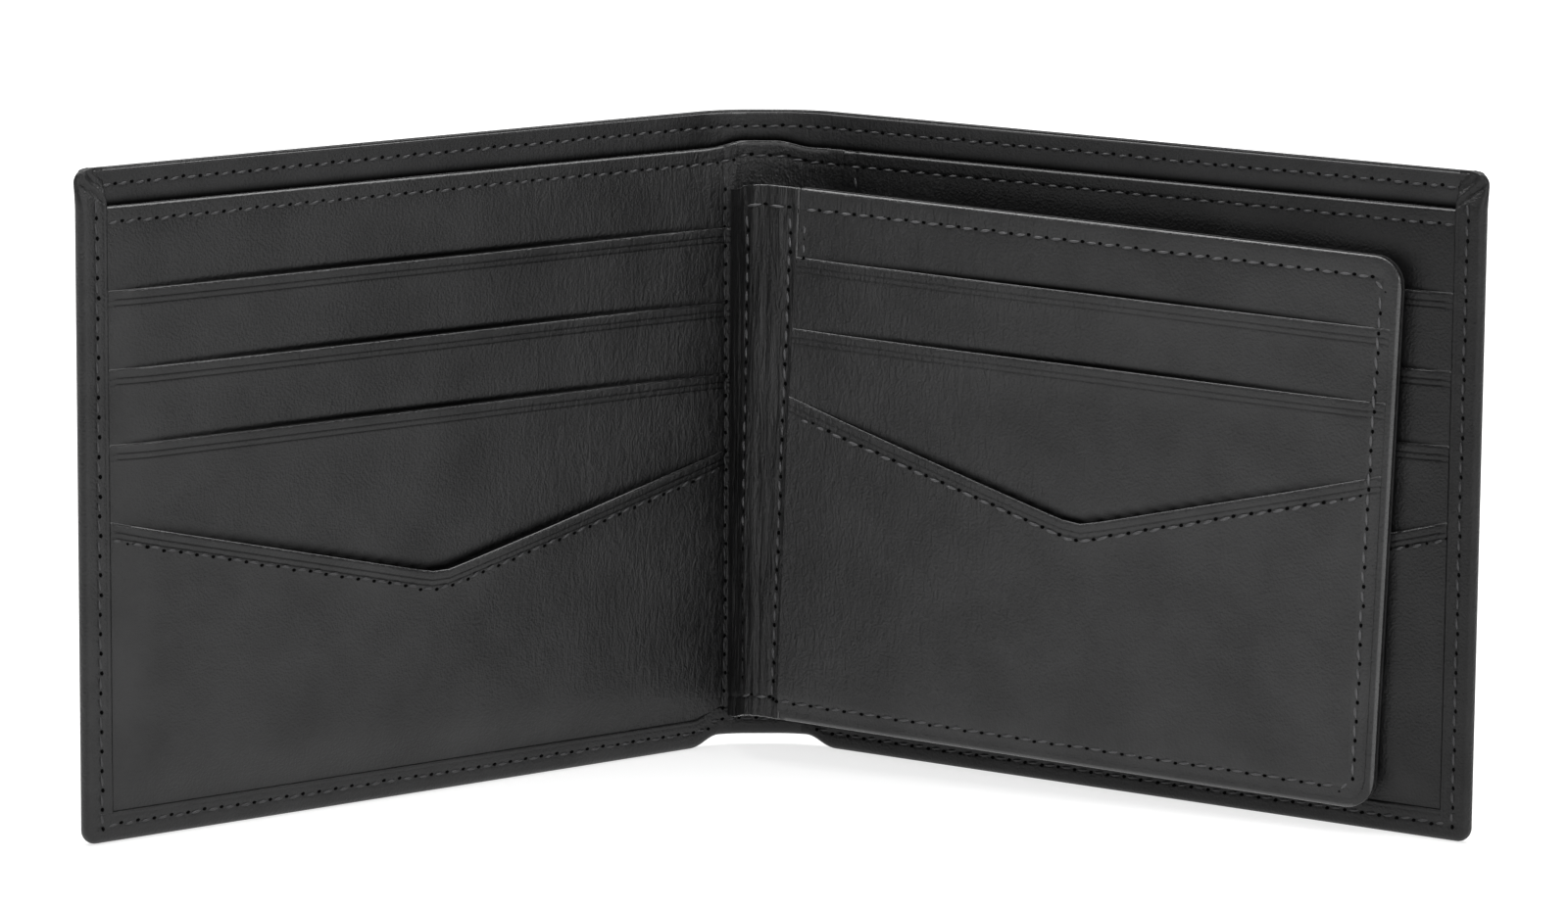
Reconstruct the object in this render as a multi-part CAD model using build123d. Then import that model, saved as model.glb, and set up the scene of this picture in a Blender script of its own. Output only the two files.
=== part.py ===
"""Leather bifold wallet with a hinged card flap, standing open on its bottom edges.

Frame: +Z up, the spine on the +Y side, the inside of the wallet facing -Y, the left half
towards -X.  The origin is the centre of the footprint's bounding box, on the surface that
the wallet stands on.

Each half is drawn in its own flat frame: s runs from the crease to the outer edge, z runs up
and h runs from the middle of the shell leather towards the inside of the wallet.
"""
import os
from math import cos, radians, sin

from build123d import *

# ---------------------------------------------------------------- driving dimensions (mm)
wallet_height = 89.0
half_length = 102.3          # crease to outer edge
spine_width = 8.0            # flat middle of the spine
crease_width = 4.0           # each bending strip beside it
spine_notch = 1.6            # the bottom edge is turned higher at the spine
corner_radius = 2.3

crease_bend = 17.6           # degrees of bend at each of the four crease lines, as it stands
flap_angle = 115.6           # degrees from the left half to the card flap, as it stands
flap_sag = 1.96              # degrees by which the flap's free end hangs down

# leathers and linings
shell_thickness = 0.8
lining_thickness = 0.2
divider_thickness = 0.3
backing_thickness = 0.3
fabric_thickness = 0.1
slot_thickness = 0.25
pocket_thickness = 0.3
turned_edge_thickness = 0.35
thread_width = 0.5
thread_height = 0.15
glue_gap = 0.03              # between leathers that lie on each other
bill_gap = 0.15              # empty bill compartment

# edges and borders
turned_wall = 0.9            # leather wrapped round the outer and bottom edges
edge_gap = 0.1               # from the wrapped leather to the layers inside
bottom_border = 4.1
side_border = 4.1
border_top = 87.4            # top of the turned edge at the outer side
bottom_seam = 2.35           # seam line above the bottom edge
side_seam = 2.35             # seam line in from the outer edge
crease_gap = 0.4             # each side of a crease line, so that the shell can bend
lining_crease_gap = 0.6
lining_top = 87.0

# card panels
panel_top = 84.0
panel_inset_left = 0.9       # crease to the inner edge of the left card panel
panel_inset_right = 4.2
divider_inset = 0.9
slot_edges = (73.0, 62.7, 52.8)
pocket_sides = 42.8          # height of the V pocket's two upper corners
pocket_point = 30.5          # height of the bottom of the V
pocket_seam = 2.4            # seam line below the V edge
inner_seam = 2.0             # seam line in from a panel's inner edge
seam_stop = 1.0              # thread stops this far from an edge that it runs up to
pocket_seam_stop = 0.5       # the same at the V seam's outer end
fabric_drop = 1.0            # fabric ends this far below the first slot's edge
cut_margin = 1.0             # by which a cutting shape passes the shape that it cuts

# card flap
hinge_s = 3.05               # flap hinge line, measured in the left half's frame
hinge_h = 7.75
flap_length = 87.8
flap_height = 74.0
strip_width = 8.8            # hinge line to the flap's inner edge
flap_bottom = 6.6            # height of the flap's lower edge at the hinge line
flap_corner_radius = 4.0
flap_inner_radius = 1.0
flap_back = 1.25             # back face of the flap, behind its middle plane
frame_thickness = 0.35
film_thickness = 0.15
flap_lining_thickness = 0.2
board_thickness = 0.35
board_margin = 2.0
flap_backing_thickness = 0.35
flap_slot_thickness = 0.25
flap_slot_drops = (9.4, 19.2)
flap_pocket_side_drop = 28.4
flap_pocket_point_drop = 40.7
flap_seam = 2.8
window_margin_side = 9.5
window_margin_end = 8.5
window_radius = 3.0
film_overlap = 3.0
flap_lining_inset = 0.5
flap_v_seam_inset = 1.5      # the V seam starts this far inside the flap's own seam
strip_thickness = 0.8
strip_root_gap = 0.3         # from the left panel's inner edge
strip_root_h = 2.1
strip_end_gap = 0.5          # from the flap's inner edge
strip_rise_h = 5.0           # height at which the strip turns into the flap

# ---------------------------------------------------------------- places worked out from them
half_yaw = 2 * crease_bend
flap_yaw = half_yaw + flap_angle - 180

shell_outer = -shell_thickness / 2
shell_inner = shell_thickness / 2
lining_low = shell_inner + glue_gap
lining_high = lining_low + lining_thickness
divider_low = lining_high + bill_gap
divider_high = divider_low + divider_thickness
backing_low = divider_high + glue_gap
backing_high = backing_low + backing_thickness
turned_low = backing_high + glue_gap
turned_high = turned_low + turned_edge_thickness
fabric_low = backing_high + glue_gap
fabric_high = fabric_low + fabric_thickness
slot_low = [fabric_high + glue_gap + row * (slot_thickness + glue_gap) for row in range(len(slot_edges))]
pocket_low = slot_low[-1] + slot_thickness + glue_gap
pocket_high = pocket_low + pocket_thickness

layer_end = half_length - turned_wall - edge_gap
layer_floor = turned_wall + edge_gap
slot_end = half_length - side_border - edge_gap      # card slots lie inside the turned edge
slot_floor = bottom_border + edge_gap

crease_x = spine_width / 2 + crease_width * cos(radians(crease_bend))
crease_y = -crease_width * sin(radians(crease_bend))
front_y = crease_y - half_length * sin(radians(half_yaw)) - turned_high * cos(radians(half_yaw))
spine_y = -(front_y - shell_outer) / 2 + shell_outer

os.makedirs("parts", exist_ok=True)


def save(name, *solids):
    """Write one node's solids to its own file."""
    shape = solids[0] if len(solids) == 1 else Compound(children=list(solids))
    export_step(shape, f"parts/{name}.step")


# ---------------------------------------------------------------- flat drawing in (s, z)
def rectangle(left, right, low, high):
    """A rectangle given by its four sides."""
    return Pos((left + right) / 2, (low + high) / 2) * Rectangle(right - left, high - low)


def rounded_end(sketch, radius):
    """Round the corners at the outer (+s) end."""
    return fillet(sketch.vertices().group_by(Axis.X)[-1], radius)


def sheet(sketch, low, high):
    """A leather of the drawn outline, from h = low to h = high."""
    return extrude(Plane.XZ.offset(low) * sketch, high - low)


def v_outline(left, right, low, sides, point):
    """A pocket whose upper edge is a wide V."""
    middle = (left + right) / 2
    corners = [(left, low), (right, low), (right, sides), (middle, point), (left, sides), (left, low)]
    return make_face(Polyline(*corners))


def v_seam(left, right, sides, point):
    """The thread line under a V edge, as a bent band of the thread's width."""
    low = point - thread_width - cut_margin
    band = v_outline(left, right, low, sides, point)
    below = v_outline(left - cut_margin, right + cut_margin, low - cut_margin, sides, point)
    return band - Pos(0, -thread_width) * below


# ---------------------------------------------------------------- placing
def place_half(shape, side):
    """Put a shape from the half's flat frame on the right half, or mirrored on the left."""
    frame = Plane(
        origin=(crease_x, spine_y + crease_y, 0),
        x_dir=(cos(radians(half_yaw)), -sin(radians(half_yaw)), 0),
        z_dir=(0, 0, 1),
    )
    placed = frame.location * shape
    return placed if side == "right" else placed.mirror(Plane.YZ)


def place_crease(shape, side):
    """Put a shape drawn from the spine outwards on a crease strip."""
    frame = Plane(
        origin=(spine_width / 2, spine_y, 0),
        x_dir=(cos(radians(crease_bend)), -sin(radians(crease_bend)), 0),
        z_dir=(0, 0, 1),
    )
    placed = frame.location * shape
    return placed if side == "right" else placed.mirror(Plane.YZ)


def left_half_point(s, h):
    """World x and y of a point of the left half's flat frame."""
    yaw = radians(half_yaw)
    x = -crease_x - s * cos(yaw) + h * sin(yaw)
    y = spine_y + crease_y - s * sin(yaw) - h * cos(yaw)
    return x, y


def place_flap(shape):
    """Put a shape drawn from the hinge line outwards on the hanging flap."""
    hinge_x, hinge_y = left_half_point(hinge_s, hinge_h)
    frame = Plane(
        origin=(hinge_x, hinge_y, 0),
        x_dir=(cos(radians(flap_yaw)), sin(radians(flap_yaw)), 0),
        z_dir=(0, 0, 1),
    )
    hang = Pos(0, 0, flap_bottom) * Rot(0, flap_sag, 0)
    return frame.location * (hang * shape)


# ---------------------------------------------------------------- the two halves
def half_shell():
    """Outer leather with its edge wrapped over the card panel at the side and the bottom."""
    outline = rounded_end(rectangle(crease_gap, half_length, 0, wallet_height), corner_radius)
    below_border_top = rectangle(crease_gap, half_length, 0, border_top)
    inside_wall = rectangle(0, half_length - turned_wall, turned_wall, wallet_height)
    inside_border = rectangle(0, half_length - side_border, bottom_border, wallet_height)
    wall = (outline & below_border_top) - inside_wall
    border = (outline & below_border_top) - inside_border
    return (
        sheet(outline, shell_outer, shell_inner)
        + sheet(wall, shell_inner, turned_low)
        + sheet(border, turned_low, turned_high)
    )


def border_seam(panel_inset):
    """Thread along the turned edge, up the side and along the bottom."""
    side_line = half_length - side_seam
    seam_top = panel_top - seam_stop
    outside = rectangle(panel_inset, side_line + thread_width, bottom_seam - thread_width, seam_top)
    inside = rectangle(0, side_line, bottom_seam, panel_top)
    return sheet(outside - inside, turned_high, turned_high + thread_height)


def panel_seams(inset):
    """Thread down a panel's inner edge, band by band, and along the V edge."""
    tops = (panel_top,) + slot_edges + (pocket_sides,)
    levels = [backing_high] + [low + slot_thickness for low in slot_low] + [pocket_high]
    floors = list(slot_edges) + [pocket_sides, slot_floor]
    line = inset + inner_seam
    runs = []
    for top, floor, level in zip(tops, floors, levels):
        run = rectangle(line, line + thread_width, floor + seam_stop, top - seam_stop)
        runs.append(sheet(run, level, level + thread_height))
    v_end = slot_end - pocket_seam_stop
    v_line = v_seam(line + seam_stop, v_end, pocket_sides - pocket_seam, pocket_point - pocket_seam)
    runs.append(sheet(v_line, pocket_high, pocket_high + thread_height))
    return runs


def build_half(side, inset):
    """All the leathers of one half, from the outside in."""
    save(f"outer_shell_{side}", place_half(half_shell(), side))
    lining = rectangle(lining_crease_gap, layer_end, layer_floor, lining_top)
    save(f"bill_lining_{side}", place_half(sheet(lining, lining_low, lining_high), side))
    divider = rectangle(divider_inset, layer_end, layer_floor, panel_top)
    save(f"bill_divider_{side}", place_half(sheet(divider, divider_low, divider_high), side))
    backing = rectangle(inset, layer_end, layer_floor, panel_top)
    save(f"card_backing_{side}", place_half(sheet(backing, backing_low, backing_high), side))
    fabric = rectangle(inset + inner_seam, slot_end, slot_floor, slot_edges[0] - fabric_drop)
    save(f"card_fabric_{side}", place_half(sheet(fabric, fabric_low, fabric_high), side))
    for row, (edge, low) in enumerate(zip(slot_edges, slot_low), start=1):
        slot = rectangle(inset, slot_end, slot_floor, edge)
        save(f"card_slot_{row}_{side}", place_half(sheet(slot, low, low + slot_thickness), side))
    pocket = v_outline(inset, slot_end, slot_floor, pocket_sides, pocket_point)
    save(f"v_pocket_{side}", place_half(sheet(pocket, pocket_low, pocket_high), side))
    save(f"border_seam_{side}", place_half(border_seam(inset), side))
    seams = [place_half(run, side) for run in panel_seams(inset)]
    save(f"panel_seams_{side}", *seams)


build_half("left", panel_inset_left)
build_half("right", panel_inset_right)

# ---------------------------------------------------------------- spine and crease strips
for side in ("left", "right"):
    strip = rectangle(crease_gap, crease_width - crease_gap, spine_notch, wallet_height)
    save(f"outer_shell_crease_{side}", place_crease(sheet(strip, shell_outer, shell_inner), side))
    strip_lining = rectangle(
        crease_gap, crease_width - lining_crease_gap, spine_notch + layer_floor, lining_top
    )
    save(f"bill_lining_crease_{side}", place_crease(sheet(strip_lining, lining_low, lining_high), side))

spine_half = spine_width / 2 - crease_gap
spine = rectangle(-spine_half, spine_half, spine_notch, wallet_height)
save("outer_shell_spine", Pos(0, spine_y, 0) * sheet(spine, shell_outer, shell_inner))
spine_lining = rectangle(-spine_half, spine_half, spine_notch + layer_floor, lining_top)
save("bill_lining_spine", Pos(0, spine_y, 0) * sheet(spine_lining, lining_low, lining_high))

divider_middle = (divider_low + divider_high) / 2
divider_x, divider_y = left_half_point(divider_inset, divider_middle)
divider_span = -divider_x - strip_root_gap
spine_divider = rectangle(-divider_span, divider_span, spine_notch + layer_floor, panel_top)
save(
    "bill_divider_spine",
    Pos(0, divider_y, 0) * sheet(spine_divider, -divider_thickness / 2, divider_thickness / 2),
)

# ---------------------------------------------------------------- card flap
flap_start = strip_width
flap_end = strip_width + flap_length


def flap_outline(margin):
    """The flap's outline, drawn in by a margin."""
    outline = rectangle(flap_start + margin, flap_end - margin, margin, flap_height - margin)
    return rounded_end(outline, max(flap_corner_radius - margin, flap_inner_radius))


def ring(margin, width):
    """A band that follows the flap's outline."""
    return flap_outline(margin) - flap_outline(margin + width)


frame_low = -flap_back
film_low = frame_low + frame_thickness + glue_gap
flap_lining_low = film_low + film_thickness + glue_gap
flap_lining_high = flap_lining_low + flap_lining_thickness
board_low = flap_lining_high + glue_gap
front_low = board_low + board_thickness + glue_gap
front_high = front_low + flap_backing_thickness
flap_slot_low = [
    front_high + glue_gap + row * (flap_slot_thickness + glue_gap) for row in range(len(flap_slot_drops))
]
flap_pocket_low = flap_slot_low[-1] + flap_slot_thickness + glue_gap
flap_pocket_high = flap_pocket_low + flap_slot_thickness

window = rectangle(
    flap_start + window_margin_side,
    flap_end - window_margin_side,
    window_margin_end,
    flap_height - window_margin_end,
)
window = fillet(window.vertices(), window_radius)
film = rectangle(
    flap_start + window_margin_side - film_overlap,
    flap_end - window_margin_side + film_overlap,
    window_margin_end - film_overlap,
    flap_height - window_margin_end + film_overlap,
)
frame_sheet = sheet(flap_outline(0) - window, frame_low, frame_low + frame_thickness)
save("flap_window_frame", place_flap(frame_sheet))
save("flap_window_film", place_flap(sheet(film, film_low, film_low + film_thickness)))
flap_lining = sheet(flap_outline(flap_lining_inset), flap_lining_low, flap_lining_high)
save("flap_back_lining", place_flap(flap_lining))
board = sheet(flap_outline(board_margin), board_low, board_low + board_thickness)
save("flap_stiffener", place_flap(board))
save("flap_backing", place_flap(sheet(flap_outline(0), front_low, front_high)))

for row, (drop, low) in enumerate(zip(flap_slot_drops, flap_slot_low), start=1):
    below = rectangle(flap_start, flap_end, 0, flap_height - drop)
    slot = sheet(flap_outline(0) & below, low, low + flap_slot_thickness)
    save(f"flap_slot_{row}", place_flap(slot))

flap_v = v_outline(
    flap_start, flap_end, 0, flap_height - flap_pocket_side_drop, flap_height - flap_pocket_point_drop
)
save("flap_v_pocket", place_flap(sheet(flap_outline(0) & flap_v, flap_pocket_low, flap_pocket_high)))

flap_levels = [front_high] + [low + flap_slot_thickness for low in flap_slot_low] + [flap_pocket_high]
flap_tops = [flap_height] + [flap_height - drop for drop in flap_slot_drops + (flap_pocket_side_drop,)]
flap_floors = flap_tops[1:] + [0]
front_seams = []
for top, floor, level in zip(flap_tops, flap_floors, flap_levels):
    band = rectangle(flap_start, flap_end, floor + seam_stop, top)
    front_seams.append(place_flap(sheet(ring(flap_seam, thread_width) & band, level, level + thread_height)))
flap_v_line = v_seam(
    flap_start + flap_seam + flap_v_seam_inset,
    flap_end - flap_seam - flap_v_seam_inset,
    flap_height - flap_pocket_side_drop - pocket_seam,
    flap_height - flap_pocket_point_drop - pocket_seam,
)
front_seams.append(
    place_flap(sheet(flap_v_line, flap_pocket_high, flap_pocket_high + thread_height))
)
save("flap_front_seams", *[solid for seam in front_seams for solid in seam.solids()])
back_ring = sheet(ring(flap_seam, thread_width), frame_low - thread_height, frame_low)
save("flap_back_seam", place_flap(back_ring))

# the strip of soft leather that joins the flap to the left panel's inner edge
def flap_plan_point(s, h):
    """A point of the left half's flat frame, seen from above in the flap's own frame."""
    x, y = left_half_point(s, h)
    hinge_x, hinge_y = left_half_point(hinge_s, hinge_h)
    east, north = x - hinge_x, y - hinge_y
    yaw = radians(flap_yaw)
    return east * cos(yaw) + north * sin(yaw), north * cos(yaw) - east * sin(yaw)


root_s = panel_inset_left - strip_root_gap - strip_thickness / 2
strip_line = Polyline(
    flap_plan_point(root_s, strip_root_h),
    flap_plan_point(root_s, strip_rise_h),
    (strip_width - strip_end_gap, 0),
)
strip_outline = offset(strip_line, strip_thickness / 2, side=Side.BOTH, kind=Kind.INTERSECTION)
strip_plan = make_face(strip_outline.edges())
save("flap_strip", place_flap(extrude(strip_plan, flap_height)))
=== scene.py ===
# %% [markdown]
# # A black leather wallet, standing open
# The wallet stands on its bottom edges like an open book.  The imported model gives every
# body and joint, so it is loaded first, and each new leather is put where the model says.
# Its box is kept, because the finished leathers may stand only a little outside it.  Its
# box is kept, to be printed beside the finished leathers' box at the end.

# %% Load the frame
import random
from collections import namedtuple
from math import atan2, cos, exp, hypot, pi, radians, sin, sqrt, tan

import bmesh
import bpy
from mathutils import Matrix, Vector, noise
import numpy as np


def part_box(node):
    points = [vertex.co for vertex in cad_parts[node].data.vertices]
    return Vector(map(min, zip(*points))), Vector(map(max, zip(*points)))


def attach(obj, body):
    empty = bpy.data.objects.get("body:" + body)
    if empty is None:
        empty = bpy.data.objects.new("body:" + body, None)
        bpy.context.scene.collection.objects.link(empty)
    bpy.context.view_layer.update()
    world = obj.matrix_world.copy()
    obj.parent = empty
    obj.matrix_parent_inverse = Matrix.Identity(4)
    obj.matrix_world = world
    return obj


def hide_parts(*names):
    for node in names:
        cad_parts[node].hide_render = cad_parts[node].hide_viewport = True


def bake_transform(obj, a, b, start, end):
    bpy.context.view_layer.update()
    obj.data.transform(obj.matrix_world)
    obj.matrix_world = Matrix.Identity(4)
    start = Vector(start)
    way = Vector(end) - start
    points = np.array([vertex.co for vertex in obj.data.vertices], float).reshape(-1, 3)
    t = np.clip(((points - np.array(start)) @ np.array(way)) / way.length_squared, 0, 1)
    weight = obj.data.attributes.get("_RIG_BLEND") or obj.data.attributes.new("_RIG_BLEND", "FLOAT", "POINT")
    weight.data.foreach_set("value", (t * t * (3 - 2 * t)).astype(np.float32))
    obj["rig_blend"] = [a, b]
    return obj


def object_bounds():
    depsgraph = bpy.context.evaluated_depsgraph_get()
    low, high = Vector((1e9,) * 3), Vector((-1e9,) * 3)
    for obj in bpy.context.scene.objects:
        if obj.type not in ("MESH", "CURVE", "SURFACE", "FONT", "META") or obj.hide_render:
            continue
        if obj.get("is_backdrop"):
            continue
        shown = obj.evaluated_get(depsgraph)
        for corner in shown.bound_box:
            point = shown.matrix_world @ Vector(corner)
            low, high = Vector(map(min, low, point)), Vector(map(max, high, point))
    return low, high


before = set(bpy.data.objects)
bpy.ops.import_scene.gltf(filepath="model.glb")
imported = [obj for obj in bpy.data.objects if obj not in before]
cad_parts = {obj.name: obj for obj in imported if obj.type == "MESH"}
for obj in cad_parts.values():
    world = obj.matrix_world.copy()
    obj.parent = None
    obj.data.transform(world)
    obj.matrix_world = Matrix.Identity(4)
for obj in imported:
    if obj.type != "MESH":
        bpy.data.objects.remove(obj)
cad_low, cad_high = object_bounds()
spine_low, spine_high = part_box("outer_shell_spine")
MM = 0.001
spine_y = (spine_low.y + spine_high.y) / 2 / MM

# %% [markdown]
# ## The wallet laid flat
# A leatherworker cuts and sews most of a wallet flat and folds it afterwards, and the
# script does the same.  Every leather is drawn flat, in millimetres: u runs along the
# wallet with 0 in the middle of the spine, z runs up, and h is the height above the middle
# of the outer leather, towards the inside.  One function then folds a flat place into the
# room, round the four soft crease lines.

# %% Fold a flat place into the room
height = 89.0
half_length = 102.3
creases = (4.0, 8.0)
crease_bend = radians(17.6)
crease_ease = 1.7
wallet_end = creases[1] + half_length


def fold_line(u):
    """Place and heading of the outer leather's middle, seen from above, on the right half."""
    x, y, heading, start = 0.0, 0.0, 0.0, 0.0
    radius = crease_ease / tan(crease_bend / 2)
    for crease in creases:
        before = min(u, crease - crease_ease) - start
        x, y = x + before * cos(heading), y - before * sin(heading)
        start = crease - crease_ease
        if u <= start:
            return x, y, heading
        part = min(1.0, (u - start) / (2 * crease_ease)) * crease_bend
        chord = 2 * radius * sin(part / 2)
        x, y = x + chord * cos(heading + part / 2), y - chord * sin(heading + part / 2)
        heading += part
        start = crease + crease_ease
        if u <= start:
            return x, y, heading
    after = max(0.0, u - start)
    return x + after * cos(heading), y - after * sin(heading), heading


def wallet_place(u, z, h):
    """Fold one flat place of the wallet into the room, in metres."""
    x, y, heading = fold_line(abs(u))
    x, y = x - h * sin(heading), y - h * cos(heading)
    return Vector((x if u >= 0 else -x, spine_y + y, z)) * MM


print("outer edge folds to", [round(c / MM, 2) for c in wallet_place(wallet_end, 0, 0)])

# %% [markdown]
# ## The card flap's own flat drawing
# The flap hangs on a strip of soft leather and stands away from the right half.  It is drawn
# flat as well: t runs from the hinge line to its free end, w runs up and g is the height
# towards the reader.  Its free end hangs down a little.

# %% Hang a flat place of the flap in the room
flap_yaw = radians(-29.2)
flap_sag = radians(1.96)
flap_bottom = 6.6
hinge_s, hinge_h = 3.05, 7.75
hinge = wallet_place(-creases[1] - hinge_s, 0, hinge_h) / MM
along_flap = Vector((cos(flap_yaw), sin(flap_yaw), 0))
out_of_flap = Vector((sin(flap_yaw), -cos(flap_yaw), 0))


def flap_place(t, w, g):
    """Hang one flat place of the flap in the room, in metres."""
    reach = t * cos(flap_sag) + w * sin(flap_sag)
    rise = flap_bottom - t * sin(flap_sag) + w * cos(flap_sag)
    return (hinge + along_flap * reach + out_of_flap * g + Vector((0, 0, rise))) * MM


print("hinge line at", [round(c, 2) for c in hinge])

# %% [markdown]
# ## Camera
# The wallet is looked at from a little above, almost straight into the fold, through a long
# lens, so that its upright edges stay nearly parallel.

# %% Set the camera
look_at = Vector((2.80, spine_y, 40.92)) * MM
view_turn, view_drop, view_roll = radians(2.46), radians(10.33), radians(0.4675)
view_distance = 0.9793
ahead = Vector((sin(view_turn) * cos(view_drop), cos(view_turn) * cos(view_drop), -sin(view_drop)))
level = Vector((cos(view_turn), -sin(view_turn), 0))
over = level.cross(ahead)
right_hand = level * cos(view_roll) + over * sin(view_roll)
top_side = over * cos(view_roll) - level * sin(view_roll)

camera_data = bpy.data.cameras.new("camera")
camera_data.sensor_width = 36.0
camera_data.lens = 162.4
camera_data.clip_end = 50
camera = bpy.data.objects.new("camera", camera_data)
bpy.context.collection.objects.link(camera)
camera.matrix_world = Matrix((
    (right_hand.x, top_side.x, -ahead.x, 0),
    (right_hand.y, top_side.y, -ahead.y, 0),
    (right_hand.z, top_side.z, -ahead.z, 0),
    (0, 0, 0, 1),
))
camera.location = look_at - ahead * view_distance
bpy.context.scene.camera = camera
print("camera stands at", [round(c, 3) for c in camera.location])

# %% [markdown]
# ## Floor and light
# The floor is plain and pale.  It looks white to the camera and to mirror-like surfaces,
# and still takes a soft shadow from its plain matt part.  Its white part grows with the
# distance, so that it meets the white world without an edge.  The light is a wide soft lamp
# overhead, a little behind the wallet, which draws bright lines along turned leather edges,
# and three weaker soft lamps in front.

# %% Set up a node material
def new_material(name):
    """A material with an empty node tree and its output node."""
    material = bpy.data.materials.new(name)
    material.use_nodes = True
    tree = material.node_tree
    tree.nodes.clear()
    output = tree.nodes.new("ShaderNodeOutputMaterial")
    return material, tree, output


def node(tree, kind, sockets=None, **settings):
    """Add one node, with its settings and the constant values of its sockets."""
    made = tree.nodes.new("ShaderNode" + kind)
    for setting, value in settings.items():
        setattr(made, setting, value)
    for socket, value in (sockets or {}).items():
        made.inputs[socket].default_value = value
    return made


def remap(tree, source, old, new):
    """A socket's value, moved from the range old to the range new and kept inside it."""
    (old_low, old_high), (new_low, new_high) = old, new
    sockets = {"From Min": old_low, "From Max": old_high, "To Min": new_low, "To Max": new_high}
    made = node(tree, "MapRange", sockets)
    tree.links.new(source, made.inputs["Value"])
    return made.outputs["Result"]


def combine(tree, operation, first, second):
    """One value made of two, which are sockets or plain numbers."""
    made = node(tree, "Math", operation=operation)
    for socket, value in zip(made.inputs, (first, second)):
        if isinstance(value, float):
            socket.default_value = value
        else:
            tree.links.new(value, socket)
    return made.outputs[0]


# %% Lay the floor and set the world
def white_for_the_eye(tree):
    """1 for camera, glossy and transmission rays, and 0 for the rays that light things."""
    rays = node(tree, "LightPath").outputs
    seen = combine(tree, "MAXIMUM", rays["Is Camera Ray"], rays["Is Glossy Ray"])
    return combine(tree, "MAXIMUM", seen, rays["Is Transmission Ray"])


floor_material, tree, output = new_material("pale_floor")
matt = node(tree, "BsdfDiffuse", {"Color": (0.4, 0.4, 0.4, 1)})
glow = node(tree, "Emission", {"Color": (1, 1, 1, 1)})
where = node(tree, "TexCoord")
away = node(tree, "VectorMath", operation="LENGTH")
tree.links.new(where.outputs["Object"], away.inputs[0])
paler = remap(tree, away.outputs["Value"], (0.2, 0.8), (0.74, 1.0))
tree.links.new(combine(tree, "MULTIPLY", white_for_the_eye(tree), paler), glow.inputs["Strength"])
both = node(tree, "AddShader")
tree.links.new(matt.outputs[0], both.inputs[0])
tree.links.new(glow.outputs[0], both.inputs[1])
tree.links.new(both.outputs[0], output.inputs["Surface"])

floor_half, floor_gap = 8, 0.00005     # the floor lies a hair below the wallet
floor_mesh = bpy.data.meshes.new("floor")
bm = bmesh.new()
bmesh.ops.create_grid(bm, x_segments=1, y_segments=1, size=floor_half)
bmesh.ops.translate(bm, vec=(0, 0, -floor_gap), verts=bm.verts)
bm.to_mesh(floor_mesh)
bm.free()
floor_mesh.materials.append(floor_material)
floor = bpy.data.objects.new("floor", floor_mesh)
bpy.context.collection.objects.link(floor)
floor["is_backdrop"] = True

world = bpy.data.worlds.new("studio")
bpy.context.scene.world = world
world.use_nodes = True
tree = world.node_tree
tree.nodes.clear()
ambient = node(tree, "Background", {"Color": (1, 1, 1, 1), "Strength": 0.08})
seen = node(tree, "Background", {"Color": (1, 1, 1, 1), "Strength": 1.0})
choose = node(tree, "MixShader")
path = node(tree, "LightPath")
tree.links.new(path.outputs["Is Camera Ray"], choose.inputs[0])
tree.links.new(ambient.outputs[0], choose.inputs[1])
tree.links.new(seen.outputs[0], choose.inputs[2])
output = node(tree, "OutputWorld")
tree.links.new(choose.outputs[0], output.inputs["Surface"])
bpy.context.scene.view_settings.view_transform = "Standard"
print("floor and world set")

# %% Hang the lamps
def soft_lamp(name, place, aim, size, power):
    """An oblong soft lamp at a place, turned to a point, in metres and watts."""
    data = bpy.data.lights.new(name, "AREA")
    data.shape = "RECTANGLE"
    data.size, data.size_y = size
    data.energy = power
    lamp = bpy.data.objects.new(name, data)
    bpy.context.collection.objects.link(lamp)
    lamp.location = place
    lamp.rotation_euler = (Vector(aim) - Vector(place)).to_track_quat("-Z", "Y").to_euler()


middle = (0, 0, 0.045)
soft_lamp("lamp_over", (0.0, 0.12, 0.85), middle, (1.7, 0.9), 19.0)
soft_lamp("lamp_left", (-1.1, -0.4, 0.35), middle, (0.4, 0.4), 0.9)
soft_lamp("lamp_right", (0.9, -0.7, 0.35), middle, (0.4, 0.4), 1.2)
soft_lamp("lamp_front", (0.45, -1.2, 0.5), middle, (0.5, 0.5), 5.0)
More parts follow.
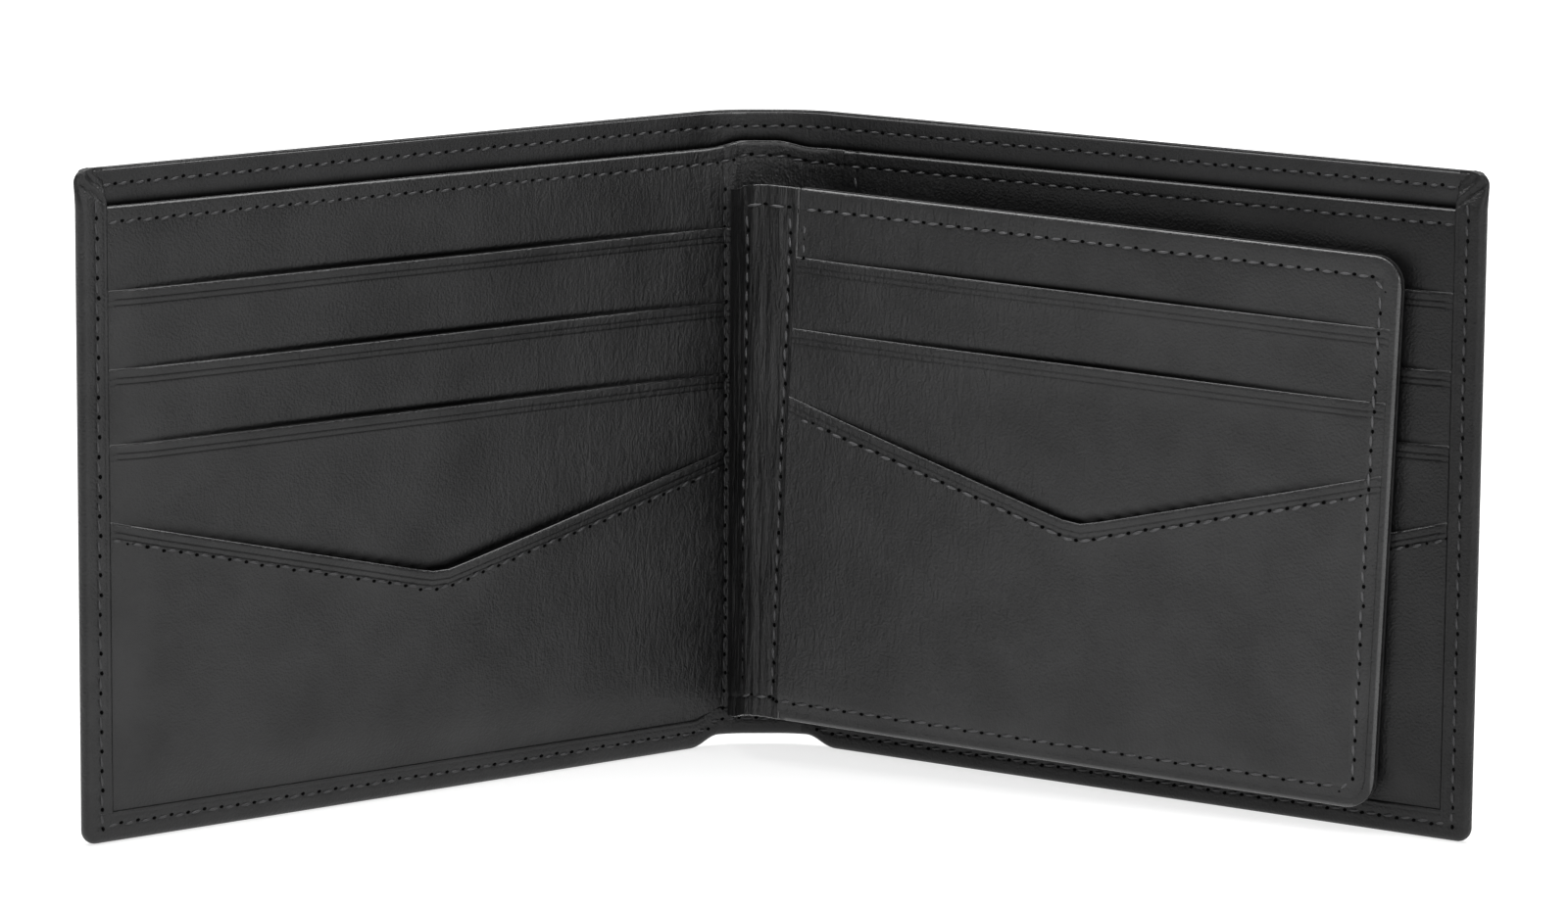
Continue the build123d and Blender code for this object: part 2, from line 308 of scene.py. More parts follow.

# %% [markdown]
# ## Leather finishes
# The leather is smooth black calf with a soft gloss.  Close up it has a fine pebbled grain
# and faint scuffs that change its gloss, so the colour stays almost even while roughness
# and bump carry the detail.  Leather that is bent often is finely wrinkled along one
# direction as well: all over on the flap's strip, and near the spine on the panels.  Every
# piece carries an attribute of polish and painted shade: above 0 its rim is rubbed to a
# gloss, and below 0, in hollows and pressed lines, colour and gloss are painted down as
# painted shade.  The right half is painted darker and duller than the left, as painted
# shade, and the flap is painted a little paler, as painted light.

# %% Mix the leathers
def wrinkle_relief(tree, where, patchy, wrinkles, stretch, creased_to):
    """Slanted upright wrinkles, all over or only up to a distance from the spine."""
    slant = (0.0, radians(-14), 0.0)
    squeeze = node(tree, "Mapping", {"Scale": (1.0, 1.0, stretch), "Rotation": slant})
    folds = node(tree, "TexNoise", {"Scale": 1300.0, "Detail": 4.0, "Roughness": 0.62, "Distortion": 0.9})
    tree.links.new(where, squeeze.inputs["Vector"])
    tree.links.new(squeeze.outputs[0], folds.inputs["Vector"])
    depth = combine(tree, "MULTIPLY", folds.outputs["Fac"], wrinkles)
    if not creased_to:
        return depth
    apart = node(tree, "SeparateXYZ")
    tree.links.new(where, apart.inputs[0])
    from_spine = node(tree, "Math", operation="ABSOLUTE")
    tree.links.new(apart.outputs["X"], from_spine.inputs[0])
    near = remap(tree, from_spine.outputs[0], (0.012, creased_to), (1.0, 0.0))
    return combine(tree, "MULTIPLY", depth, combine(tree, "MULTIPLY", near, patchy))


def leather_finish(
    name, colour, gloss, grain=1.0, wrinkles=0.0, creased_to=0.0, shine=0.42, stretch=0.3,
):
    """Grained leather: colour drift, scuffed gloss, a pebbled bump and painted shade, all from nodes."""
    material, tree, output = new_material(name)
    link = tree.links.new
    where = node(tree, "TexCoord").outputs["Object"]
    drift = node(tree, "TexNoise", {"Scale": 90.0, "Detail": 4.0, "Roughness": 0.6})
    pores = node(tree, "TexVoronoi", {"Scale": 2600.0}, feature="F1")
    fine = node(tree, "TexNoise", {"Scale": 5200.0, "Detail": 3.0, "Roughness": 0.55})
    for texture in (drift, pores, fine):
        link(where, texture.inputs["Vector"])
    patchy = drift.outputs["Fac"]
    shade = node(tree, "ValToRGB")
    for stop, position, share in zip(shade.color_ramp.elements, (0.3, 0.7), (0.8, 1.2)):
        stop.position = position
        stop.color = [c * share for c in colour] + [1]
    link(patchy, shade.inputs["Fac"])

    relief = combine(tree, "ADD", pores.outputs["Distance"], fine.outputs["Fac"])
    if wrinkles:
        folded = wrinkle_relief(tree, where, patchy, wrinkles, stretch, creased_to)
        relief = combine(tree, "ADD", folded, relief)
    bump = node(tree, "Bump", {"Strength": 0.55 * grain, "Distance": 0.0001})
    link(relief, bump.inputs["Height"])

    polish = node(tree, "Attribute", attribute_name="polish").outputs["Fac"]
    rough = remap(tree, patchy, (0.0, 1.0), (gloss - 0.1, gloss + 0.12))
    rough = combine(tree, "SUBTRACT", rough, remap(tree, polish, (0.0, 1.0), (0.0, 0.2)))
    # Below 0 the attribute is painted shade: it lowers the specular level to 0.02 and scales the colour down
    # to 5 per cent.
    mirror = remap(tree, polish, (-1.0, 0.0), (0.02, shine))
    mirror = combine(tree, "MULTIPLY", mirror, remap(tree, patchy, (0.35, 0.65), (0.9, 1.12)))
    colour_with_painted_shade = node(tree, "VectorMath", operation="SCALE")
    link(shade.outputs["Color"], colour_with_painted_shade.inputs[0])
    link(remap(tree, polish, (-1.0, 0.0), (0.05, 1.0)), colour_with_painted_shade.inputs["Scale"])

    skin = node(tree, "BsdfPrincipled", {"Coat Roughness": 0.2})
    link(colour_with_painted_shade.outputs[0], skin.inputs["Base Color"])
    link(rough, skin.inputs["Roughness"])
    link(mirror, skin.inputs["Specular IOR Level"])
    link(remap(tree, polish, (0.0, 1.0), (0.0, 1.0)), skin.inputs["Coat Weight"])
    link(bump.outputs["Normal"], skin.inputs["Normal"])
    link(skin.outputs[0], output.inputs["Surface"])
    return material


black = (0.0125, 0.0125, 0.0129)
# Painted light: a paler copy of the same black calf for the flap, which faces the light more.
flap_painted_light_black = (0.022, 0.022, 0.0225)
# Painted shade: a darker, duller copy of the same black calf for the right half, which lies in the flap's
# shade.
shaded_half_black = (0.0075, 0.0075, 0.0078)
shell_leather = leather_finish("black_calf_outer", black, 0.42)
panel_leather = leather_finish("black_calf_panels", black, 0.38, wrinkles=11.0, creased_to=0.05)
shaded_half_shell = leather_finish("black_calf_outer_sheltered", shaded_half_black, 0.42, shine=0.32)
shaded_half_leather = leather_finish(
    "black_calf_panels_sheltered", shaded_half_black, 0.38, wrinkles=11.0, creased_to=0.05, shine=0.32,
)
# The flap takes the paler, painted-light copy of the leather.
flap_leather = leather_finish("black_calf_flap", flap_painted_light_black, 0.38, wrinkles=8.0, creased_to=0.07)
soft_leather = leather_finish("black_calf_soft_strip", black, 0.36, wrinkles=13.0, stretch=0.14)
lining_skin = leather_finish(
    "black_lining_skin", (0.011, 0.011, 0.0115), 0.5, grain=0.8, wrinkles=9.0, creased_to=0.045,
)
print("leathers mixed")

# %% [markdown]
# ## Lining, thread, window and board
# The bill compartment is lined with a dull black woven cloth, the pieces are sewn with
# black twisted thread that catches a little light, the flap's window is clear soft film,
# and the board inside the flap is grey pressed fibre.  The thread on the flap and its strip
# is painted paler, as painted glints.

# %% Mix the other finishes
def patterned_skin(tree, output, pattern, dark, pale, bump_strength, sockets):
    """Give a material a skin whose colour and bump both come from one pattern."""
    link = tree.links.new
    shade = node(tree, "ValToRGB")
    shade.color_ramp.elements[0].color = [*dark, 1]
    shade.color_ramp.elements[1].color = [*pale, 1]
    bump = node(tree, "Bump", {"Strength": bump_strength, "Distance": 0.0001})
    skin = node(tree, "BsdfPrincipled", sockets)
    link(pattern, shade.inputs["Fac"])
    link(pattern, bump.inputs["Height"])
    link(shade.outputs["Color"], skin.inputs["Base Color"])
    link(bump.outputs["Normal"], skin.inputs["Normal"])
    link(skin.outputs[0], output.inputs["Surface"])


def cloth_finish(name, colour):
    """Fine plain-woven lining: two crossed wave patterns give colour and bump."""
    material, tree, output = new_material(name)
    where = node(tree, "TexCoord")
    threads = []
    for direction in ("X", "Z"):
        wave = node(tree, "TexWave", {"Scale": 900.0, "Distortion": 0.4}, bands_direction=direction)
        tree.links.new(where.outputs["Object"], wave.inputs["Vector"])
        threads.append(wave.outputs["Fac"])
    dark, pale = [c * 0.6 for c in colour], [c * 1.3 for c in colour]
    skin = {"Roughness": 0.8, "Sheen Weight": 0.2}
    patterned_skin(tree, output, combine(tree, "MULTIPLY", *threads), dark, pale, 0.4, skin)
    return material


def speckled_finish(name, dark, pale, rough, size, bump_strength=0.3, sockets=None):
    """A finish whose colour and bump come from one noise pattern."""
    material, tree, output = new_material(name)
    where = node(tree, "TexCoord")
    speck = node(tree, "TexNoise", {"Scale": size, "Detail": 4.0, "Roughness": 0.6})
    tree.links.new(where.outputs["Object"], speck.inputs["Vector"])
    skin = {"Roughness": rough, **(sockets or {})}
    patterned_skin(tree, output, speck.outputs["Fac"], dark, pale, bump_strength, skin)
    return material


def grey(value):
    return (value, value, value)


lining_cloth = cloth_finish("black_lining_cloth", (0.012, 0.012, 0.013))
black_thread = speckled_finish("black_thread", (0.01, 0.01, 0.011), (0.07, 0.07, 0.073), 0.34, 6000.0)
# Painted light: a paler copy of the black thread, for the flap and its strip, stands in for glints.
worn_thread = speckled_finish("worn_thread", (0.03, 0.03, 0.031), (0.16, 0.16, 0.165), 0.3, 6000.0)
# Painted shade: a black, dull finish for the balls that stand in for the dark inside the needle holes.
needle_hole = speckled_finish(
    "needle_hole", grey(0.001), grey(0.002), 0.95, 3000.0, sockets={"Specular IOR Level": 0.05},
)
window_film = speckled_finish(
    "clear_window_film", (0.9, 0.91, 0.92), (0.96, 0.97, 0.98), 0.06, 60.0, 0.03,
    {"Transmission Weight": 1.0, "IOR": 1.45},
)
fibre_board = speckled_finish("grey_fibre_board", (0.12, 0.11, 0.1), (0.22, 0.21, 0.19), 0.85, 1400.0)
print("materials", sorted(m.name for m in bpy.data.materials))

# %% [markdown]
# ## Cutting a leather
# Every leather starts as a flat grid, gets its thickness by extruding, and has its rim
# rounded with a bevel, because a turned or creased leather edge is never sharp and its
# bright line of light is what shows one leather lying on another.  The grid's columns and
# rows stand where the shape needs them: close together along an edge or a pressed line,
# wide apart on plain leather.

# %% Space out columns and rows
least_gap = 0.09                # columns and rows stand at least this far apart


def spread(start, end, step, extra=(), close=(0.3, 0.8, 1.6)):
    """Places from start to end at an even step, closer at both ends and round extra places."""
    count = max(1, round((end - start) / step))
    places = {round(start + (end - start) * i / count, 4) for i in range(count + 1)}
    for gap in close:
        places |= {round(start + gap, 4), round(end - gap, 4)}
    for place in extra:
        places.add(round(place, 4))
    kept = []
    for place in sorted(p for p in places if start <= p <= end):
        if not kept or place - kept[-1] > least_gap:
            kept.append(place)
    kept[-1] = end
    return kept


def around(place, offsets=(0.0, 0.14, 0.3, 0.55)):
    """Places on both sides of a pressed line."""
    return [place + sign * gap for gap in offsets for sign in (-1, 1)]


# %% Cut, thicken and round one leather
def cut_leather(
    columns, rows, low, high, shape=None, under=None, rim=0.1, rim_segments=2, round_at=None, polished=None,
):
    """A closed flat leather; shape(u, z) moves each place of the grid and under gives its back.

    The rim is rounded where round_at says, and rubbed to a gloss where polished says.
    """
    bm = bmesh.new()
    bm.verts.layers.float.new("polish")
    wide, tall = len(columns) - 1, len(rows) - 1
    bmesh.ops.create_grid(bm, x_segments=wide, y_segments=tall, size=0.5)
    for vert in bm.verts:
        u = columns[round((vert.co.x + 0.5) * wide)]
        z = rows[round((vert.co.y + 0.5) * tall)]
        vert.co = Vector(shape(u, z) if shape else (u, z)).to_3d()
        vert.co.z = under(u, z) if under else low
    upper = bmesh.ops.extrude_face_region(bm, geom=bm.faces[:])["geom"]
    for vert in upper:
        if isinstance(vert, bmesh.types.BMVert):
            vert.co.z = high
    bmesh.ops.recalc_face_normals(bm, faces=bm.faces)
    corners = []
    for edge in bm.edges:
        turned = edge.calc_face_angle(0) > 1.0
        if turned and (round_at is None or round_at((edge.verts[0].co + edge.verts[1].co) / 2)):
            corners.append(edge)
    if rim and corners:
        rounded = bmesh.ops.bevel(
            bm, geom=corners, offset=rim, affect="EDGES", segments=rim_segments, profile=0.5, material=-1,
            clamp_overlap=True,
        )["faces"]
        polish = bm.verts.layers.float["polish"]
        for vert in {v for face in rounded for v in face.verts}:
            vert[polish] = 1.0 if polished is None or polished(vert.co) else 0.0
    return bm


def lift(bm, relief, gloss=None):
    """Raise every place by relief(u, z, h); gloss(u, z, h) above 0 rubs a polish, below 0 paints shade, dark
    and dull.
    """
    polish = bm.verts.layers.float.get("polish")
    for vert in bm.verts:
        if gloss:
            share = gloss(*vert.co)
            vert[polish] = max(vert[polish], share) if share > 0 else vert[polish] * (1 + share) + share
        vert.co.z += relief(*vert.co)
    return bm


def finish_piece(name, bm, place, material, body=None, bend=None, stands_for=()):
    """Fold a flat bmesh into the room and make it a finished piece that rides or bends."""
    for vert in bm.verts:
        vert.co = place(*vert.co)
    for face in bm.faces:
        face.smooth = True
    for edge in bm.edges:
        if edge.calc_face_angle(0) > 0.9:
            edge.smooth = False
    mesh = bpy.data.meshes.new(name)
    bm.to_mesh(mesh)
    bm.free()
    mesh.materials.append(material)
    piece = bpy.data.objects.new(name, mesh)
    bpy.context.collection.objects.link(piece)
    if bend:
        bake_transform(piece, bend[0], bend[1], start=bend[2], end=bend[3])
    else:
        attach(piece, body)
    if stands_for:
        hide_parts(*stands_for)
    return piece


print("cutting tools ready")

# %% [markdown]
# ## Leathers that cross the spine
# The outer leather, the lining and the divider of the bill compartment run across the
# spine without a break.  The spine has four soft crease lines with a body between each
# two, and a piece can bend between two bodies only, so each of these leathers is cut into
# four lengths that meet exactly, and each length bends over one crease.

# %% Four lengths from left to right
Span = namedtuple("Span", "name start end body next_body bend_start bend_end")
cut_u = 6.0                     # the cuts lie over the outer ends of the bends
spans = (
    Span("left", -wallet_end, -cut_u, "left_half", "crease_left", -10.0, -6.0),
    Span("spine_left", -cut_u, 0.0, "crease_left", "spine", -6.0, -2.0),
    Span("spine_right", 0.0, cut_u, "spine", "crease_right", 2.0, 6.0),
    Span("right", cut_u, wallet_end, "crease_right", "right_half", 6.0, 10.0),
)


def at_cut(u):
    """True on the cut ends where two lengths meet."""
    return any(abs(u - cut) < 0.001 for cut in (-cut_u, 0.0, cut_u))


def bend_of(span):
    """The two bodies of one length and where its bend starts and ends."""
    start, end = wallet_place(span.bend_start, 0, 0), wallet_place(span.bend_end, 0, 0)
    return span.body, span.next_body, start, end


def fit_columns(columns, start, end):
    """The columns of a drawing that fall on one length, with its own two ends."""
    inside = [u for u in columns if start + least_gap < u < end - least_gap]
    return [start] + inside + [end]


def nodes_of(span, *stems):
    """The model's nodes that one length stands for."""
    names = []
    for stem in stems:
        if span.name in ("left", "right"):
            names.append(f"{stem}_{span.name}")
        elif stem == "bill_divider":
            names += [f"{stem}_spine"] if span.name == "spine_left" else []
        else:
            side = span.name.split("_")[1]
            names.append(f"{stem}_crease_{side}")
            names += [f"{stem}_spine"] if side == "left" else []
    return names


print("lengths", [span[:3] for span in spans])

# %% [markdown]
# ## Outer leather
# The outer leather is turned over at the outer ends and along the bottom: it goes round
# the edge of the card panel in one soft curve and lies flat on its face as a border about
# four millimetres wide.  The plain field of the leather is cut as a flat piece, and the
# turned edge is drawn once as a profile and led round the outline by extruding it.

# %% Outline of the outer leather
shell_half = 0.4                # half the thickness of the outer leather
corner = 1.9
notch_height = 1.5
notch_half, notch_ease = 6.5, 5.0
border_width = 4.1
wrap = 1.05                     # how far in the turned curve reaches
border_face = 1.79              # height of the turned border's face


def smooth_step(x):
    """0 below 0, 1 above 1 and a smooth rise between."""
    x = max(0.0, min(1.0, x))
    return x * x * (3 - 2 * x)


def bottom_edge(u):
    """The bottom edge is turned a little higher at the spine."""
    return notch_height * (1 - smooth_step((abs(u) - notch_half) / notch_ease))


def top_edge(u):
    """The top edge of the outer leather, level, with the rounded outer corners."""
    from_end = wallet_end - abs(u)
    drop = corner - sqrt(max(0.0, corner ** 2 - (corner - from_end) ** 2)) if from_end < corner else 0.0
    return height - drop


def field_shape(u, z):
    """The field of the outer leather ends where the turned curve begins."""
    low = bottom_edge(u) + wrap
    return u, low + (z - wrap) / (height - wrap) * (top_edge(u) - low)


# %% Cut the field of the outer leather
field_end = wallet_end - wrap
corner_columns = [sign * (field_end - c) for c in (0.0, 0.25, 0.55, 0.95, 1.4, 1.9) for sign in (-1, 1)]
plain = spread(-field_end, field_end, 3.0, extra=corner_columns)
plain = {round(c, 3) for c in plain if abs(c) > 12.4 or abs(c) < 0.5}
over_bends = {sign * (2.3 + i * 0.34) for i in range(23) for sign in (-1, 1)}
between = {sign * place for place in (0.0, 1.2, 11.2, 12.2) for sign in (-1, 1)}
columns = sorted(plain | over_bends | between)
rows = spread(wrap, height, 3.0)
# The right length of the outer leather takes the painted-shade copy of the leather.
shell_skins = {span.name: shell_leather for span in spans} | {"right": shaded_half_shell}


def on_top_edge(middle):
    """True on the free top edge of the outer leather, but not on a cut end."""
    at_side = abs(abs(middle.x) - field_end) < 0.01
    return middle.y > height - corner - 0.3 and not at_side and not at_cut(middle.x)


for span in spans:
    own = fit_columns(columns, max(span.start, -field_end), min(span.end, field_end))
    bm = cut_leather(
        own, rows, -shell_half, shell_half, field_shape, rim=0.28, rim_segments=3,
        round_at=on_top_edge, polished=lambda place: False,
    )
    piece = finish_piece(
        f"outer_leather_{span.name}", bm, wallet_place, shell_skins[span.name],
        bend=bend_of(span), stands_for=nodes_of(span, "outer_shell"),
    )
    print(piece.name, len(piece.data.polygons), "faces")

# %% [markdown]
# ## Leading a profile round an outline
# The turned edge has the same section all the way: a round nose, a flat face and a small
# step down at its inner edge.  That section is drawn once as a closed ring of edges, and
# the ring is extruded from station to station round the outline, as a piping foot would
# lead it.  Where the inner side runs out of room in a corner, its points fall together
# and are merged into one mitre.

# %% Lead a closed section round an outline
def lead_section(section, stations, spot):
    """Extrude a ring of edges along the stations; spot(station, d, h) places each point."""
    bm = bmesh.new()
    ring = [bm.verts.new(spot(stations[0], d, h)) for d, h in section]
    edges = [bm.edges.new(pair) for pair in zip(ring, ring[1:] + ring[:1])]
    for station in stations[1:]:
        made = bmesh.ops.extrude_edge_only(bm, edges=edges)["geom"]
        new = {v for v in made if isinstance(v, bmesh.types.BMVert)}
        ring = [next(e.other_vert(v) for e in v.link_edges if e.other_vert(v) in new) for v in ring]
        for vert, (d, h) in zip(ring, section):
            vert.co = spot(station, d, h)
        edges = [e for e in made if isinstance(e, bmesh.types.BMEdge) and set(e.verts) <= new]
    bmesh.ops.holes_fill(bm, edges=[e for e in bm.edges if e.is_boundary], sides=0)
    bmesh.ops.remove_doubles(bm, verts=bm.verts, dist=0.0005)
    bmesh.ops.recalc_face_normals(bm, faces=bm.faces)
    return bm


# %% Draw the section of the turned edge
seam_in = 2.35                  # thread line in from the edge
slot_edges = (73.0, 62.7, 52.8)
nose_half = (border_face + shell_half) / 2
nose_turns = [radians(a) for a in range(-90, 91, 15)]
nose = [(wrap - wrap * cos(a), nose_half - shell_half + nose_half * sin(a)) for a in nose_turns]
face = [(d, border_face) for d in (1.3, 1.6, 1.85, 2.1, 2.35, 2.6, 2.85, 3.1, 3.3, 3.42, 3.55, 3.68, 3.85)]
step_down = [(4.0, 1.76), (4.08, 1.68), (4.1, 1.56), (4.04, 1.46), (1.3, 1.45), (wrap, 1.3)]
edge_section = nose + face + step_down


plain_height = 40.0             # a height at which no slot shows through the border


def border_relief(run, z, d):
    """The thread channel, a faint creased line and the slots that show through the border."""
    channel = -0.13 * exp(-((d - seam_in) / 0.3) ** 2)
    crease = -0.05 * exp(-((d - 3.55) / 0.12) ** 2)
    puff = 0.03 * sin(run * 2 * pi / 2.55) * exp(-((d - seam_in) / 0.9) ** 2)
    ridge = sum(0.1 * exp(-((z - edge + 0.4) / 0.45) ** 2) for edge in slot_edges)
    return channel + crease + puff + ridge * smooth_step((d - 0.6) / 1.5)


def border_thin(z):
    """Share of its height that the side border keeps; it merges into the hem at the top."""
    return 1 - 0.53 * smooth_step((z - 83.6) / 4.2)


def corner_pleats(down, inward):
    """The folded corner: a raised pleat that runs down and inwards, and the slit beneath it."""
    across_fold = (down - 0.85 * inward - 0.2) / 1.31
    pleat = 0.3 * exp(-(across_fold / 0.32) ** 2) - 0.32 * exp(-((across_fold - 0.8) / 0.24) ** 2)
    second = 0.14 * exp(-((across_fold + 1.1) / 0.3) ** 2)
    return (pleat + second) * smooth_step((inward - 0.4) / 0.6) * smooth_step((4.3 - inward) / 0.8)


def edge_spot(station, d, h):
    """Where one point of the section comes at a station on the side, corner or bottom."""
    kind, at, side = station
    run, height_here, thin = 0.0, plain_height, 1.0
    if kind == "side":
        above = max(0.0, at - (height - corner))
        pull = corner - sqrt(max(0.0, corner ** 2 - above ** 2))
        inward = pull + d * (border_width - pull) / border_width
        u, z = wallet_end - inward, at
        run, height_here = at, at
        thin = border_thin(at)
    elif kind == "arc":
        centre_u, centre_z = wallet_end - corner, corner
        if d <= corner:
            u, z = centre_u + (corner - d) * cos(at), centre_z - (corner - d) * sin(at)
        else:
            u, z = centre_u - (d - corner), centre_z + (d - corner)
    else:
        u, z = at, bottom_edge(at) + d
        run = at
    if h > 1.44:
        h += border_relief(run, height_here, d)
    h = -shell_half + (h + shell_half) * thin
    if kind == "side" and at > 82.0:
        h += corner_pleats(height - at, d) * smooth_step((h - 0.2) / 0.4)
    return Vector((side * u, z, h))


# %% Turn the edge round each length
def steps(start, end, step):
    """Even places from start to end, in either direction."""
    count = max(1, round(abs(end - start) / step))
    return [start + (end - start) * i / count for i in range(count + 1)]


for span in spans:
    side = 1 if span.end > 0.5 else -1
    if span.name in ("left", "right"):
        down = steps(height, 83.0, 0.2) + steps(82.4, corner, 0.64)
        inwards = steps(wallet_end - corner, 12.0, 0.64) + steps(11.7, cut_u, 0.3)
        stations = [("side", z, side) for z in down]
        stations += [("arc", radians(a), side) for a in range(10, 90, 10)]
        stations += [("bottom", u, side) for u in inwards]
    else:
        stations = [("bottom", u, side) for u in steps(cut_u, 0.0, 0.4)]
    piece = finish_piece(
        f"turned_edge_{span.name}", lead_section(edge_section, stations, edge_spot), wallet_place,
        shell_skins[span.name], bend=bend_of(span),
    )
    print(piece.name, len(piece.data.polygons), "faces")

# %% [markdown]
# ## Lining and divider of the bill compartment
# A thin lining is glued to the outer leather and sewn to it along the top.  In front of it
# stands the divider, the leather that carries both card panels.  It crosses the spine as
# a straight soft bridge, so it stands further off the outer leather there, and its top
# edge rises a little between the panels.

# %% Shapes that the inside leathers share
panel_top = 84.0
lining_top = 88.7
panel_rise = 0.9


def bridge(u):
    """Extra height of the inside leathers where they bridge the spine."""
    return 0.4 * (1 - smooth_step((abs(u) - 3.5) / 7.0))


def panel_edge(u):
    """Height of the card panels' top edge; it rises across the spine."""
    return panel_top + panel_rise * (1 - smooth_step((abs(u + 1.0) - 2.0) / 6.0))


def hung_from(top_of, floor_of, tallest):
    """A shape whose first rows keep their distance from a top edge that isn't level."""
    kept = 8.0

    def shape(u, drop):
        top, floor = top_of(u), floor_of(u)
        near = min(drop, kept)
        rest = (drop - near) * (top - floor - kept) / (tallest - kept)
        return u, top - near - rest
    return shape


def compartment_floor(u):
    """Where the inside leathers end, just above the turned edge."""
    return bottom_edge(u) + wrap + 0.1


# %% Cut the lining and the divider
hem_line = 2.3
panel_thread_line = 2.15
inner_end = wallet_end - wrap - 0.1
plain_columns = [c for c in columns if abs(c) < inner_end - 0.2]


def thread_channel(distance, deep=0.12):
    """Depth of the channel that a row of stitches pulls into soft leather."""
    return -deep * exp(-(distance / 0.3) ** 2)


def lining_relief(u, z, h):
    """The lining hangs loosely, with upright folds near the spine."""
    hem = thread_channel(height - hem_line - z) if h > 0.5 else 0.0
    soft = 0.12 * noise.noise(Vector((u * 0.16, z * 0.1, 1.7))) * smooth_step((height - z) / 3.0)
    near_spine = exp(-((abs(u) - 6) / 9.0) ** 2) * smooth_step((height - z - 2.0) / 3.0)
    folds = 0.16 * noise.noise(Vector((u * 0.9, z * 0.05, 4.1))) * near_spine
    return abs(soft) + abs(folds) + hem


def divider_relief(u, z, h):
    """The divider bridges the spine in upright folds."""
    seam = thread_channel(panel_edge(u) - panel_thread_line - z) if abs(u) < 13 and h > 0.9 else 0.0
    folds = 0.1 * noise.noise(Vector((u * 1.1, z * 0.06, 9.3))) * exp(-((abs(u) - 4) / 5.0) ** 2)
    return bridge(u) + seam + folds


def lining_painted_shade(u, z, h):
    """Painted shade: the lining is painted dark and dull just above the panels, where the compartment opens.
    """
    return -exp(-((z - panel_edge(u) - 0.1) / 0.7) ** 2) if h > 0.5 else 0.0


def divider_gloss(u, z, h):
    """The divider's top edge is rubbed."""
    return 0.9 if panel_edge(u) - z < 0.4 else 0.0


lining_face, divider_face = 0.63, 1.08
hem_rows = around(hem_line) + [
    lining_top - panel_top - rise for rise in (-0.6, 0.0, 0.3, 0.6, 0.9, 1.2, 1.6, 2.0)
]
sheets = {
    "bill_lining": (
        0.43, lining_face, lambda u: lining_top, hem_rows, lining_relief, lining_painted_shade, lining_skin, "lining",
    ),
    "bill_divider": (
        0.78, divider_face, panel_edge, around(panel_thread_line), divider_relief, divider_gloss,
        panel_leather, "panel_leather",
    ),
}
for stem, (low, high, top, extra, relief, gloss, skin, slot) in sheets.items():
    tallest = top(half_length) - compartment_floor(half_length)
    drops = spread(0.0, tallest, 3.0, extra=extra)
    across = [-inner_end] + plain_columns + [inner_end]
    for span in spans:
        own = fit_columns(across, max(span.start, -inner_end), min(span.end, inner_end))
        bm = cut_leather(
            own, drops, low, high, hung_from(top, compartment_floor, tallest), rim=0.09,
            round_at=lambda m: not at_cut(m.x),
        )
        finish_piece(
            f"{stem}_{span.name}_skin", lift(bm, relief, gloss), wallet_place, skin,
            bend=bend_of(span), stands_for=nodes_of(span, stem),
        )
    print(stem, "cut in", len(spans), "lengths")

# %% [markdown]
# ## Card panels
# Each half carries a panel of stacked leathers: a backing, a thin fabric, three card slots
# that step down, and a pocket with a wide V edge.  Each has a creased line pressed a little
# below its edge.  Towards the turned border every leather is skived thinner, so the whole
# stack dips under the border, and at its mouth each slot stands open by a hair.

# %% Heights of the stacked leathers
levels = {"card_fabric": (1.44, 1.54), "card_slot_1": (1.57, 1.82), "card_slot_2": (1.85, 2.10),
          "card_slot_3": (2.13, 2.38), "v_pocket": (2.41, 2.71)}
backing_face = 1.41
panel_inset = {-1: -3.6, 1: 4.2}     # from the outer crease to the panel's inner edge, left and right
slot_end = half_length - border_width - 0.1
v_sides, v_point = 42.8, 30.5
crease_lines = (1.25, 2.05)
pressed_rows = [line + gap for line in crease_lines for gap in (-0.22, -0.11, 0.0, 0.11, 0.22)]
edge_rows = (0.1, 0.22, 0.36, 0.5, 0.9, 1.6)
v_thread_line = 2.4
inner_thread_line = 2.0         # in from a panel's inner edge
slot_mouth, v_mouth, flap_mouth_width = 0.7, 0.9, 0.6
mouth_reach = 2.2               # an open mouth fades out this far below its edge
hollow_wide, v_hollow_wide = 0.42, 0.8
hollow_rises = (-0.3, 0.0, 0.15, 0.3, 0.45, 0.65, 0.9, 1.3)
kept_rows = 6.0                 # rows this near an edge keep their distance from it
skin_rim = 0.11


def v_edge(s, inset):
    """Height of the V pocket's upper edge, with its point eased."""
    middle = (inset + slot_end) / 2
    reach = (slot_end - inset) / 2
    eased = sqrt((s - middle) ** 2 + 1.5) - 0.6
    return v_point + (v_sides - v_point) * eased / reach


def skive(s, z, inset):
    """Share of its full height that a leather keeps near the border and the inner edge."""
    side = smooth_step((slot_end - s) / 4.5)
    floor = smooth_step((z - border_width) / 6.0)
    inner = 0.6 + 0.4 * smooth_step((s - inset) / 6.0)
    return 0.14 + 0.86 * side * floor * inner


def panel_wave(u, z):
    """The slight waviness that all the leathers of a panel share."""
    side = smooth_step((wallet_end - border_width - abs(u)) / 8.0)
    swell = 0.22 * (0.5 + noise.noise(Vector((u * 0.045, z * 0.06, 2.2))))
    return swell * side * smooth_step((z - 4.0) / 8.0)


def stacked(level, s, z, side):
    """Height of a leather's face at one place of a panel."""
    u = side * (creases[1] + s)
    inset = panel_inset[side]
    return backing_face + (level - backing_face) * skive(s, z, inset) + bridge(u) + panel_wave(u, z)


def roll(drop):
    """A leather's cut edge is rounded over towards the leather behind it."""
    return -0.22 * (1 - min(1.0, max(0.0, drop) / 0.4)) ** 1.3


